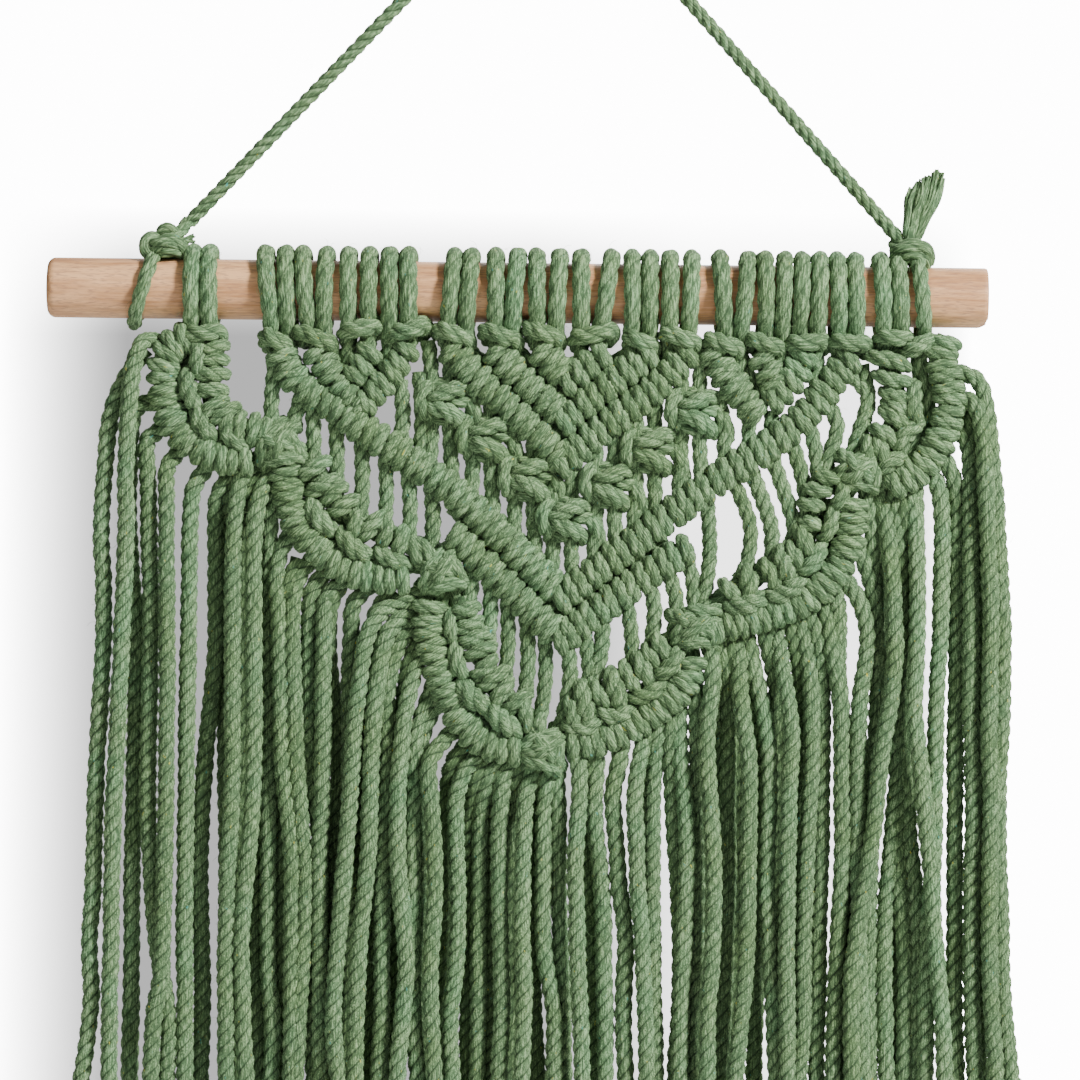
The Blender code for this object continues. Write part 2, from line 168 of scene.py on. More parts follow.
def noise(place, scale, detail=0.0, roughness=None):
    """Noise over a place, with one scale or, for stretched noise, one for each axis."""
    tree = place.id_data
    if isinstance(scale, tuple):
        place = wire(tree, "ShaderNodeVectorMath", place, scale, operation="MULTIPLY")
        scale = 1.0
    return wire(tree, "ShaderNodeTexNoise", place, None, scale, detail, roughness)


def blended(share, first, second, how="MIX"):
    mix = add_node(share.id_data, "ShaderNodeMix", share, data_type="RGBA", blend_type=how)
    feed(mix.inputs[6], first)
    feed(mix.inputs[7], second)
    return mix.outputs[2]


def new_material(name):
    made = bpy.data.materials.new(name)
    made.use_nodes = True
    return made


def finish(made, looks):
    """Sets the inputs of the material's shader."""
    for name, value in looks.items():
        feed(made.node_tree.nodes["Principled BSDF"].inputs[name], value)


def cotton_material(name):
    """Twisted cotton: fine fibres along each ply, painted shade in the grooves and a few stray flecks."""
    made = new_material(name)
    tree = made.node_tree
    fibre = add_node(tree, "ShaderNodeAttribute", attribute_name="fibre").outputs["Vector"]
    groove = add_node(tree, "ShaderNodeAttribute", attribute_name="groove").outputs["Fac"]
    tone = add_node(tree, "ShaderNodeAttribute", attribute_name="tone").outputs["Fac"]
    where = add_node(tree, "ShaderNodeTexCoord").outputs["Object"]
    streaks = noise(fibre, (2700, 2700, 480), 2.0, 0.6)
    strips = noise(fibre, (1500, 1500, 300), 1.0, 0.5)
    light = plus(spread(streaks, 0.33, 0.67), spread(strips, 0.32, 0.68, -0.13, 0.13))
    # The tone pales or darkens the fibres at random, and carries painted shade on the deeper fringe strands.
    light = plus(light, times(tone, 0.08))
    colour = blended(spread(light, 0.15, 0.50), FIBRE_DARK, FIBRE_MID)
    colour = blended(spread(light, 0.50, 0.95), colour, FIBRE_LIGHT)
    mottle = noise(where, 75.0, 2.0, 0.5)
    # The tone also tints the cord, so the painted shade on deep strands leans them olive.
    hue = plus(times(tone, 0.30), spread(mottle, 0.35, 0.65, -0.5, 0.5))
    colour = blended(spread(hue, 0.1, 1.0, 0.0, 0.45), colour, TEAL_TINT, "MULTIPLY")
    colour = blended(spread(hue, -0.1, -1.0, 0.0, 0.45), colour, OLIVE_TINT, "MULTIPLY")
    # Painted shade: the colour darkens towards each ply groove, where shade falls between the plies.
    painted_groove_shade = spread(groove, 0.62, 1.0)
    colour = blended(times(times(painted_groove_shade, painted_groove_shade), 0.95), colour, GROOVE_PAINTED_SHADE)
    specks = noise(fibre, (1400, 1400, 600))
    fleck = blended(spread(noise(where, 420.0), 0.45, 0.55), FLECK_YELLOW, FLECK_BLUE)
    colour = blended(spread(specks, 0.82, 0.86, 0.0, 0.6), colour, fleck)
    relief = plus(streaks, times(strips, 0.8))
    finish(made, {
        "Base Color": colour, "Normal": wire(tree, "ShaderNodeBump", 0.8, 0.0004, Height=relief),
        "Roughness": 0.92, "Specular IOR Level": 0.15,
        "Sheen Weight": 0.12, "Sheen Roughness": 0.5, "Sheen Tint": SHEEN_GREEN,
    })
    return made


def captured(geometry, *items):
    """The geometry, then each value as it carries it on. An item is a kind and a value."""
    made = geometry.id_data.nodes.new("GeometryNodeCaptureAttribute")
    for number, (kind, _) in enumerate(items):
        made.capture_items.new(kind, f"value {number}")
    for socket, value in zip(made.inputs, (geometry, *(value for _, value in items))):
        feed(socket, value)
    return made.outputs[:len(items) + 1]


def twisted_cord_tree():
    """Sweeps a three-lobed section along each line, turned as the plies are laid."""
    tree = bpy.data.node_groups.new("twisted_cord", "GeometryNodeTree")
    for name, kind in (
        ("Geometry", "Geometry"), ("Ring Step", "Float"), ("Ply Points", "Int"), ("Lobe", "Float"),
        ("Fibre Lift", "Float"), ("Hairs", "Float"), ("Finish", "Material"),
    ):
        tree.interface.new_socket(name, in_out="INPUT", socket_type=f"NodeSocket{kind}")
    tree.interface.new_socket("Geometry", in_out="OUTPUT", socket_type="NodeSocketGeometry")
    given = tree.nodes.new("NodeGroupInput").outputs
    turns, phase, thick, filled = (
        wire(tree, "GeometryNodeInputNamedAttribute", name) for name in ("turns", "phase", "thick", "filled")
    )
    place = wire(tree, "GeometryNodeInputPosition")

    line = wire(tree, "GeometryNodeMeshToCurve", given["Geometry"])
    line = wire(tree, "GeometryNodeCurveSplineType", line, spline_type="CATMULL_ROM")
    line = wire(tree, "GeometryNodeResampleCurve", line, mode="LENGTH", Length=given["Ring Step"])
    run = add_node(tree, "GeometryNodeSplineParameter").outputs["Length"]
    turn = plus(times(times(run, turns), math.tau), phase)
    line, turn, run, centre = captured(line, ("FLOAT", turn), ("FLOAT", run), ("VECTOR", place))
    line = wire(tree, "GeometryNodeSetCurveTilt", line, None, turn)

    around = times(given["Ply Points"], 3.0)
    ring = wire(tree, "GeometryNodeCurvePrimitiveCircle", Resolution=around, Radius=1.0)
    angle = times(over(wire(tree, "GeometryNodeInputIndex"), around), math.tau)
    inside = minus(sums("MODULO", angle, math.tau / 3), math.pi / 3)
    side = times(sums("SINE", inside), given["Lobe"])
    round_ply = sums("POWER", minus(1.0, given["Lobe"]), 2.0)
    reach = sums("SQRT", minus(round_ply, times(side, side)))
    radius = plus(times(sums("COSINE", inside), given["Lobe"]), reach)
    x = times(sums("COSINE", angle), radius)
    y = times(sums("SINE", angle), radius)
    corner = wire(tree, "ShaderNodeCombineXYZ", x, y, 0.0)
    groove = over(sums("ABSOLUTE", inside), math.pi / 3)
    ring, angle, groove, radius = captured(ring, ("FLOAT", angle), ("FLOAT", groove), ("FLOAT", radius))
    ring = wire(tree, "GeometryNodeSetPosition", ring, None, corner)

    half = times(thick, 0.5)
    cord = wire(tree, "GeometryNodeCurveToMesh", line, ring, half, True)
    fixed = plus(angle, turn)
    x = times(sums("COSINE", fixed), half)
    y = times(sums("SINE", fixed), half)
    fibre = wire(tree, "ShaderNodeCombineXYZ", x, y, plus(run, phase))
    cord = wire(
        tree, "GeometryNodeStoreNamedAttribute", cord, None, "fibre", data_type="FLOAT_VECTOR", Value=fibre,
    )
    groove = times(groove, minus(1.0, times(filled, 0.34)))
    cord = wire(tree, "GeometryNodeStoreNamedAttribute", cord, None, "groove", Value=groove)
    wanting = minus(over(1.0, radius), 1.0)
    fuller = wire(tree, "ShaderNodeVectorMath", place, centre, operation="SUBTRACT")
    fuller = wire(tree, "ShaderNodeVectorMath", fuller, operation="SCALE", Scale=times(filled, wanting))
    cord = wire(tree, "GeometryNodeSetPosition", cord, None, None, fuller)
    lift = times(minus(noise(place, 620.0, 1.0), 0.5), given["Fibre Lift"])
    outward = wire(tree, "GeometryNodeInputNormal")
    shift = wire(tree, "ShaderNodeVectorMath", outward, operation="SCALE", Scale=lift)
    cord = wire(tree, "GeometryNodeSetPosition", cord, None, None, shift)
    cord = wire(tree, "GeometryNodeSetShadeSmooth", cord, None, True)

    spots = add_node(tree, "GeometryNodeDistributePointsOnFaces", cord, Density=given["Hairs"], Seed=5)
    bow = wire(tree, "GeometryNodeCurvePrimitiveBezierSegment", 4, *HAIR_BOW)
    hair_end = wire(tree, "GeometryNodeCurvePrimitiveCircle", Resolution=3, Radius=HAIR_RADIUS)
    hair = wire(tree, "GeometryNodeCurveToMesh", bow, hair_end)
    low, high = (-0.7, -0.7, 0.0), (0.7, 0.7, math.tau)
    twirl = wire(tree, "FunctionNodeRandomValue", low, high, data_type="FLOAT_VECTOR")
    lean = spots.outputs["Rotation"]
    lean = wire(tree, "FunctionNodeRotateRotation", lean, twirl, rotation_space="LOCAL")
    size = add_node(tree, "FunctionNodeRandomValue", None, None, 0.5, 1.3, data_type="FLOAT").outputs[1]
    hairs = wire(
        tree, "GeometryNodeInstanceOnPoints", spots.outputs[0], None, hair, Rotation=lean, Scale=size,
    )
    both = add_node(tree, "GeometryNodeJoinGeometry", hairs)
    feed(both.inputs[0], cord)
    whole = wire(tree, "GeometryNodeRealizeInstances", both.outputs[0])
    whole = wire(tree, "GeometryNodeSetMaterial", whole, None, given["Finish"])
    feed(tree.nodes.new("NodeGroupOutput").inputs[0], whole)
    return tree


cotton = cotton_material("cotton_cord")
twisted_cord = twisted_cord_tree()

# One length of cord: its middle line, thickness and lay, the turn of its plies at the start,
# how pale it is, at random and with painted shade for its depth, and how filled its grooves are.
Strand = namedtuple("Strand", "points thick lay phase tone filled", defaults=(0.0, 0.0, 0.0))


def lay_cord(name, strands, ring_step=3.4, ply_points=5, lobe=0.40, lift=0.00014, hairs=12000.0):
    """The piece made of these strands, as one mesh of twisted cord."""
    points = []
    edges = []
    columns = {"thick": [], "turns": [], "phase": [], "tone": [], "filled": []}
    for strand in strands:
        start = len(points)
        points += strand.points
        edges += [(i, i + 1) for i in range(start, len(points) - 1)]
        thick = strand.thick if isinstance(strand.thick, list) else [strand.thick] * len(strand.points)
        columns["thick"] += [value * FULLNESS * SQUARE for value in thick]
        columns["turns"] += [1 / (strand.lay * SQUARE)] * len(strand.points)
        for key in ("phase", "tone", "filled"):
            columns[key] += [getattr(strand, key)] * len(strand.points)
    line = bpy.data.meshes.new(name)
    line.from_pydata(points, edges, [])
    for key, values in columns.items():
        line.attributes.new(key, "FLOAT", "POINT").data.foreach_set("value", values)
    piece = bpy.data.objects.new(name, line)
    bpy.context.scene.collection.objects.link(piece)
    sweep = piece.modifiers.new("twisted_cord", "NODES")
    sweep.node_group = twisted_cord
    wanted = {
        "Ring Step": ring_step * SQUARE, "Ply Points": ply_points, "Lobe": lobe,
        "Fibre Lift": lift, "Hairs": hairs, "Finish": cotton,
    }
    for socket in twisted_cord.interface.items_tree:
        if socket.in_out == "INPUT" and socket.name in wanted:
            sweep[socket.identifier] = wanted[socket.name]
    bpy.context.view_layer.update()
    depsgraph = bpy.context.evaluated_depsgraph_get()
    swept = bpy.data.meshes.new_from_object(piece.evaluated_get(depsgraph))
    piece.modifiers.remove(sweep)
    piece.data = swept
    swept.name = name
    return piece


def hanging_route():
    """The cord's middle line, from the left tie over the bend to the right tie."""
    left, right, bend = at(*CORD_LEFT), at(*CORD_RIGHT), at(*CORD_BEND)
    ends = []
    for foot, turn in ((left, 1), (right, -1)):
        away = foot - bend
        heading = math.atan2(away.z, away.x) - turn * math.acos(HANGING_BEND / away.length)
        touch = bend + Vector((math.cos(heading), 0, math.sin(heading))) * HANGING_BEND
        ends.append((foot, touch, heading))
    (left, left_touch, start), (right, right_touch, end) = ends
    if start < end:
        start += math.tau
    arc = []
    for i in range(1, BEND_STEPS):
        angle = start + (end - start) * i / BEND_STEPS
        arc.append(bend + Vector((math.cos(angle), 0, math.sin(angle))) * HANGING_BEND)
    up = [left.lerp(left_touch, i / SIDE_STEPS) for i in range(SIDE_STEPS)]
    down = [right_touch.lerp(right, i / SIDE_STEPS) for i in range(1, SIDE_STEPS + 1)]
    return up + [left_touch] + arc + [right_touch] + down


route = hanging_route()
hanging = lay_cord("hanging_cord_twist", [Strand(route, HANGING_THICKNESS / SQUARE, lay=40)], ring_step=2.6)
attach(hanging, "root")
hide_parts("hanging_cord")

# The rod: a sanded round dowel of pale pink-brown hardwood, unvarnished. Its left end
# is rounded over, and its right end is sawn square with a small chipped chamfer.
WOOD_PALE = (0.675, 0.382, 0.184, 1)
WOOD_DARK = (0.395, 0.186, 0.076, 1)
PORE_BROWN = (0.26, 0.14, 0.09, 1)


def wood_material(name):
    """Fine straight grain along the rod, with pores and broad bands."""
    made = new_material(name)
    tree = made.node_tree
    where = add_node(tree, "ShaderNodeTexCoord").outputs["Object"]
    grain = noise(where, (90, 1100, 1100), 3.0, 0.65)
    bands = noise(where, (14, 170, 170), 2.0, 0.5)
    light = plus(times(grain, 0.5), times(bands, 0.5))
    pore = spread(noise(where, (420, 2900, 2900), 1.0, 0.5), 0.53, 0.66, 0.0, 0.55)
    colour = blended(spread(light, 0.39, 0.61), WOOD_DARK, WOOD_PALE)
    finish(made, {
        "Base Color": blended(pore, colour, PORE_BROWN),
        "Normal": wire(tree, "ShaderNodeBump", 0.25, 0.0001, Height=minus(grain, pore)),
        "Roughness": spread(light, 0.3, 0.7, 0.62, 0.46), "Specular IOR Level": 0.35,
    })
    return made


def turned(name, profile, sides, paint):
    """A closed mesh turned about the rod's axis from (x, radius) pairs."""
    points = []
    faces = []
    for x, radius in profile:
        for k in range(sides):
            angle = math.tau * k / sides
            y, z = radius * math.cos(angle), radius * math.sin(angle)
            points.append((x, ROD_MIDDLE.y + y, ROD_MIDDLE.z + z))
    for i in range(len(profile) - 1):
        for k in range(sides):
            n = (k + 1) % sides
            faces.append((i * sides + k, (i + 1) * sides + k, (i + 1) * sides + n, i * sides + n))
    faces.append(tuple(range(sides)))
    last = (len(profile) - 1) * sides
    faces.append(tuple(last + k for k in reversed(range(sides))))
    mesh = bpy.data.meshes.new(name)
    mesh.from_pydata(points, [], faces)
    mesh.materials.append(paint)
    mesh.shade_smooth()
    mesh.set_sharp_from_angle(angle=math.radians(40))
    piece = bpy.data.objects.new(name, mesh)
    bpy.context.scene.collection.objects.link(piece)
    return piece


wood = wood_material("rod_wood")
radius = (rod_high.z - rod_low.z) / 2
left_edge, right_edge = 0.0022, 0.0006
straight, ring_gap = 0.245, 0.0006
profile = [(rod_low.x, radius - left_edge)]
for i in range(1, 7):
    bend = math.pi / 2 * i / 6
    x = rod_low.x + left_edge * (1 - math.cos(bend))
    profile.append((x, radius - left_edge * (1 - math.sin(bend))))
profile += [(rod_low.x + straight * i / 24, radius) for i in range(1, 25)]
profile += [(rod_high.x - 0.0032 + ring_gap * i, radius) for i in range(5)]
profile += [(rod_high.x - right_edge * 0.3, radius - right_edge * 0.35)]
profile += [(rod_high.x, radius - right_edge)]
rod = turned("rod_dowel", profile, 72, wood)
# The chip takes off what lies beyond a slanting plane through this place.
chip = Vector((rod_high.x - 9 * SQUARE, 0, rod_low.z))
chip_side = Vector((0.54, -0.12, -0.83))
for corner in rod.data.vertices:
    beyond = (corner.co - chip).dot(chip_side)
    if beyond > 0:
        corner.co -= chip_side * beyond
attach(rod, "root")
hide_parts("rod")

# The ties: at each end the hanging cord goes once round the rod and is knotted on top.
# The left one ends in a short frayed stub, the right one in a long frayed tail.
rng = random.Random(11)


def rod_axis(across):
    """How far down the chart the rod's axis lies here."""
    return ROD_DOWN + (across - ROD_ACROSS) * math.tan(CHART_LEAN)


def any_strand(points, thick, lay=LAY, amount=0.0, filled=0.13, painted_shade=0.0):
    """A strand through places on the chart, its plies starting at any angle."""
    spread_lay = lay * rng.uniform(0.92, 1.1)
    # A random tone, plus the painted shade given for the strand's depth.
    tone = rng.uniform(-1, 1) + painted_shade
    path = []
    for point in points:
        path.append(at(*point) + Vector([rng.uniform(-1, 1) * amount * SQUARE for _ in range(3)]))
    return Strand(path, thick, spread_lay, rng.uniform(0, 6), tone, filled)


def turn_round_rod(top, foot, reach, start=-70, end=250, steps=13):
    """A turn of cord round the rod, from below in front over the top to below behind."""
    path = []
    for i in range(steps):
        angle = math.radians(start + (end - start) * i / (steps - 1))
        share = (1 + math.sin(angle)) / 2
        across = foot + (top - foot) * share
        path.append((across, rod_axis(across) - reach * math.sin(angle), reach * math.cos(angle)))
    return path


left_tie = [
    any_strand(turn_round_rod(156, 134, 35, -88, 272, 15), 13.8, 60),
    any_strand(
        [(161, 250, 6), (153, 256, 13), (147, 251, 16), (146, 243, 16), (152, 238, 14), (160, 241, 6)],
        12.5, 60,
    ),
    any_strand([(152, 250, 6), (160, 245, 20), (171, 242, 22), (180, 246, 16), (184, 253, 4)], 15, 60),
    any_strand([(155, 253, 2), (165, 252, 18), (176, 252, 16), (184, 254, 2)], 12.5, 60),
    any_strand([(160, 242, -4), (161, 233, 6), (168, 229, 9), (175, 233, 8), (177, 242, 0)], 12, 60),
    any_strand([(189, 221, 0), (181, 231, 4), (173, 239, 10), (164, 246, 12), (158, 252, 6)], 13, 46),
    any_strand([(176, 244, 4), (183, 242, 4), (188, 241, 2)], [13, 11, 8], 80),
    any_strand([(151, 249, -4), (162, 250, -1), (175, 250, -1), (183, 251, -4)], 20, 60),
]
for i in range(9):
    height = 234 + 9 * i / 8
    tip = (193 + rng.uniform(-2, 3), height, rng.uniform(-3, 3))
    left_tie.append(any_strand([(180, 242, 3), (187, (height + 241) / 2, 2), tip], [3, 2.4, 1.2], 200))
tie_left = lay_cord("tie_left_cord", left_tie, ring_step=2.6)
right_tie = [
    any_strand(turn_round_rod(917, 923, 38, -80, 262, 15), 15.5, 60),
    any_strand(
        [(899, 262, -4), (895, 254, 8), (902, 249, 18), (914, 247, 20), (925, 251, 14), (927, 262, 2)],
        15, 60,
    ),
    any_strand([(900, 266, -2), (903, 260, 14), (913, 256, 20), (922, 259, 14), (925, 266, 6)], 13, 60),
    any_strand([(900, 256, -6), (910, 255, -2), (922, 258, -6)], 22, 60),
    any_strand([(893, 245, -6), (900, 244, 0), (909, 247, 4)], 14, 60),
    any_strand([(911, 254, 2), (911, 240, 5), (913, 228, 3), (918, 212, 0)], [14, 15, 14, 8], 120),
]
TAIL_LOCKS = 46
for i in range(TAIL_LOCKS):
    share = i / (TAIL_LOCKS - 1)
    depth = rng.uniform(-7, 7)
    tip_across = 911 + 33 * share + rng.uniform(-2, 2)
    tip_down = 188 - 22 * share**0.8 + 8 * max(0.0, share - 0.8) * 5 + rng.uniform(-2, 5)
    lock = [
        (911, 250, 4), (905 + 16 * share, 234, 4 + depth * 0.5),
        (906 + 23 * share + rng.uniform(-1, 1), 216, depth),
        (907 + 32 * share + rng.uniform(-2, 2), 199, depth), (tip_across, tip_down, depth * 0.8),
    ]
    right_tie.append(any_strand(lock, [5, 5.5, 5.2, 4.6, 2.2], 300, 0.6))
tie_right = lay_cord("tie_right_cord", right_tie, ring_step=2.6, ply_points=4, hairs=30000.0)
for piece, node in ((tie_left, "tie_left"), (tie_right, "tie_right")):
    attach(piece, "root")
    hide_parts(node)

# The lark's heads: sixteen cords folded over the rod. Both strands of each go round it,
# and the fold makes a short band in front of them under the rod.
LOOPS = (
    (194, 193), (210, 210),
    (266, 273), (286, 289), (303, 309), (327, 324), (349, 349), (370, 369),
    (390, 390), (409, 409),
    (455, 448), (472, 466), (496, 496), (518, 512), (537, 537), (560, 556),
    (581, 581), (612, 600), (632, 632), (650, 649), (670, 669), (692, 688),
    (720, 724), (748, 740), (765, 765), (785, 781), (802, 799), (820, 816),
    (837, 838), (855, 855),
    (880, 883), (897, 900),
)
# Across and down of each band's left and right end.
FOLDS = (
    (184, 335, 226, 332), (262, 336, 293, 345), (295, 331, 337, 344), (341, 332, 383, 324),
    (389, 334, 431, 325), (434, 328, 474, 340), (480, 329, 521, 341), (523, 327, 563, 339),
    (570, 338, 617, 330), (624, 337, 657, 347), (660, 332, 700, 343), (704, 340, 742, 349),
    (746, 339, 783, 349), (785, 345, 827, 341), (829, 341, 870, 345), (874, 337, 911, 338),
)
LOOP_REACH = 36.6
# A band's course as a share of its half width, with squares down and towards the viewer.
FOLD_BEND = (
    (-0.70, 9, 2), (-0.98, 5, 14), (-0.84, 0, 26), (-0.3, 1, 32),
    (0.3, 1, 32), (0.84, 0, 26), (0.98, 5, 14), (0.70, 9, 2),
)


def loop_places(top, foot):
    """A cord over the rod with both its feet drawn together under it."""
    low = rod_axis(foot)
    front = [(foot, low + 52, 8), (foot, low + 38, 20)]
    back = [(foot, low + 34, -20), (foot, low + 42, -4), (foot, low + 52, 4)]
    return front + turn_round_rod(top, foot, LOOP_REACH, -28, 208, 11) + back


larks = [any_strand(loop_places(top, foot), rng.uniform(16.5, 17.6), 64, 0.4, 0.2) for top, foot in LOOPS]
larks_piece = lay_cord("rod_loops", larks, ring_step=3.2, lobe=0.34, hairs=26000.0)
folds = []
for left, left_down, right, right_down in FOLDS:
    half = (right - left) / 2 - 5
    fold = []
    for share, lower, depth in FOLD_BEND:
        down = (left_down + right_down) / 2 + (right_down - left_down) / 2 * share
        fold.append(((left + right) / 2 + half * share, down + lower, depth))
    folds.append(any_strand(fold, rng.uniform(16.5, 18), 46, 0.6))
folds_piece = lay_cord("lark_heads", folds, ring_step=3.0)

# The hitch bars: a carrier cord close covered by double half hitches, each of them two
# turns of a cord that comes down from above. They make the V shapes of the panel.
BAR_DEPTH = 19
BAR_PITCH, BAR_BREADTH, SMALL_BAR_BREADTH, BAR_BODY, HITCH_CORD = 13.0, 36, 32, 34, 14.2
# Each bar's middle line, as across, down, across, down, from end to end.
DIAGONALS = {
    "long_left": (
        281, 350, 284, 361, 296, 380, 310, 393, 325, 402, 342, 412, 370, 434, 403, 455, 454, 492, 505, 540,
        555, 590,
    ),
    "long_right": (851, 355, 832, 380, 800, 421, 759, 452, 720, 477, 680, 507, 640, 538, 592, 574, 556, 602),
    "lower_left": (452, 532, 480, 559, 520, 597, 556, 633),
    "lower_right": (690, 546, 664, 563, 640, 579, 592, 614, 554, 643),
    "small_v_left": (312, 348, 324, 364, 340, 386, 364, 410),
    "small_v_right": (410, 346, 394, 370, 362, 408),
    "small_v_inner": (373, 348, 352, 382),
    "middle_v_left": (448, 346, 456, 356, 484, 385, 516, 413, 548, 445, 562, 460),
    "middle_v_left_2": (492, 348, 524, 382, 560, 413),
    "middle_v_left_3": (538, 348, 564, 377),
    "middle_v_right_3": (606, 350, 580, 372, 562, 388),
    "middle_v_right_2": (652, 350, 616, 380, 588, 401, 558, 426),
    "middle_v_right": (690, 350, 656, 388, 624, 412, 592, 437, 556, 468),
    "right_v_left": (711, 349, 723, 372, 742, 398, 760, 418),
    "right_v_left_2": (760, 352, 777, 392),
    "right_v_right": (806, 352, 794, 375, 766, 404),
}


def paired(numbers):
    """Places across and down from a plain run of numbers."""
    return list(zip(numbers[::2], numbers[1::2]))


def evenly(points, step):
    """Points about step apart on a smooth curve through the given ones, all in squares."""
    fine = []
    last = len(points) - 1
    for i in range(last):
        a, b, c, d = (Vector(points[j]) for j in (max(i - 1, 0), i, i + 1, min(i + 2, last)))
        for k in range(16):
            t = k / 16
            bend = (2 * a - 5 * b + 4 * c - d) * t * t + (3 * b - a - 3 * c + d) * t**3
            fine.append(b + 0.5 * ((c - a) * t + bend))
    fine.append(Vector(points[-1]))
    lengths = [0.0]
    for p, q in zip(fine, fine[1:]):
        lengths.append(lengths[-1] + (q - p).length)
    count = max(2, round(lengths[-1] / step))
    even = []
    k = 0
    for i in range(count + 1):
        want = lengths[-1] * i / count
        while k < len(fine) - 2 and lengths[k + 1] < want:
            k += 1
        even.append(fine[k].lerp(fine[k + 1], (want - lengths[k]) / (lengths[k + 1] - lengths[k])))
    return even


def covered(points, depth, thick, step=14):
    """A cord that lies inside or behind the others along the points."""
    return any_strand([(p.x, p.y, depth) for p in evenly(points, step)], thick, 60)


def wraps(points, pitch, breadth, deep, thick, slant=-0.15, lay=42):
    """The turns that cover a bar along the points, one for each pitch, and its carrier."""
    made = []
    line = evenly(points, pitch)
    for i in range(len(line) - 1):
        along = (line[i + 1] - line[i]).normalized()
        middle = (line[i] + line[i + 1]) / 2 + along * pitch * (0.05 if i % 2 else -0.05)
        side = Vector((along.y, -along.x))
        if side.y > 0:
            side = -side
        tall = (breadth - thick) / 2 * rng.uniform(0.94, 1.08)
        lean = slant * rng.uniform(0.5, 1.5)
        path = []
        for k in range(13):
            angle = math.tau * (k / 12 - 0.5) * 0.98
            up, out = (math.copysign(abs(v) ** 0.95, v) for v in (math.sin(angle), math.cos(angle)))
            place = middle + (side * tall + along * pitch * lean) * up
            path.append((place.x, place.y, BAR_DEPTH + (deep - thick) / 2 * out))
        plump = thick * rng.uniform(0.96, 1.06)
        taper = [plump * (0.93 - 0.13 * math.cos(math.tau * k / 12)) for k in range(13)]
        made.append(any_strand(path, taper, lay, 0.4))
    made.append(covered(points, BAR_DEPTH, breadth - thick - 1, 12))
    return made


# The cords that lie behind the valleys between two bars.
VALLEYS = (
    (335, 352, 346, 372, 362, 398), (392, 350, 378, 372, 364, 394), (468, 350, 500, 380, 530, 406, 562, 438),
    (514, 350, 540, 374, 562, 394), (672, 354, 640, 382, 606, 406, 560, 444), (628, 354, 600, 376, 562, 404),
    (452, 506, 490, 544, 530, 584, 556, 610), (666, 537, 650, 548, 600, 588, 556, 622),
    (738, 352, 752, 384, 766, 402), (786, 352, 780, 376, 768, 396), (556, 456, 556, 480),
)
bars = []
for name, numbers in DIAGONALS.items():
    breadth = SMALL_BAR_BREADTH if "small_v" in name else BAR_BREADTH
    bars += wraps(paired(numbers), BAR_PITCH, breadth, BAR_BODY, HITCH_CORD)
bars += [covered(paired(valley), 9, 17) for valley in VALLEYS]
bars_piece = lay_cord("hitch_bars", bars, ring_step=3.4, ply_points=4, lobe=0.38)

# The square knots: seven flat knots in a V between the bars. In each, one cord passes
# across two core cords, is locked by a loop at the left, and comes back lower down.
SQUARE_KNOTS = ((441, 403), (482, 438), (524, 478), (562, 519), (605, 485), (645, 450), (690, 412))
# Places across, down and towards the viewer from a knot's middle, with the cord's thickness.
SQUARE_KNOT_CORDS = (
    (14.5, ((-9, -20, 8), (-16, -14, 22), (-19, -2, 27), (-18, 8, 26), (-11, 19, 10))),
    (16.5, ((-12, 2, 14), (-6, -4, 27), (5, -9, 31), (17, -13, 26), (27, -14, 10))),
    (17, ((-12, -1, 14), (-5, 4, 28), (5, 8, 32), (15, 14, 27), (22, 21, 10))),
    (13, ((6, -2, 14), (14, 0, 21), (24, -1, 19), (32, -3, 8))),
    (12, ((-14, -15, 8), (-5, -18, 16), (6, -19, 16), (16, -18, 6))),
    (12, ((-12, 15, 8), (-5, 17, 17), (5, 19, 16), (12, 22, 4))),
    (14, ((20, -8, 6), (30, 2, 18), (36, 14, 18), (38, 30, 10))),
    (24, ((-10, 0, 12), (4, 0, 13), (18, 2, 12))),
)
knots = []
for across, down in SQUARE_KNOTS:
    for thick, cord in SQUARE_KNOT_CORDS:
        path = [(across + a, down + d, z) for a, d, z in cord]
        knots.append(any_strand(path, thick * rng.uniform(0.96, 1.06), 44, 1.0))
    for side in (-9, 9):
        core = [(side * 1.4, -62), (side, -25), (side, 25), (side * 1.3, 80)]
        knots.append(any_strand([(across + a, down + d, 15) for a, d in core], 15.5, 42))
knots_piece = lay_cord("square_knots", knots, ring_step=3.2, ply_points=4)

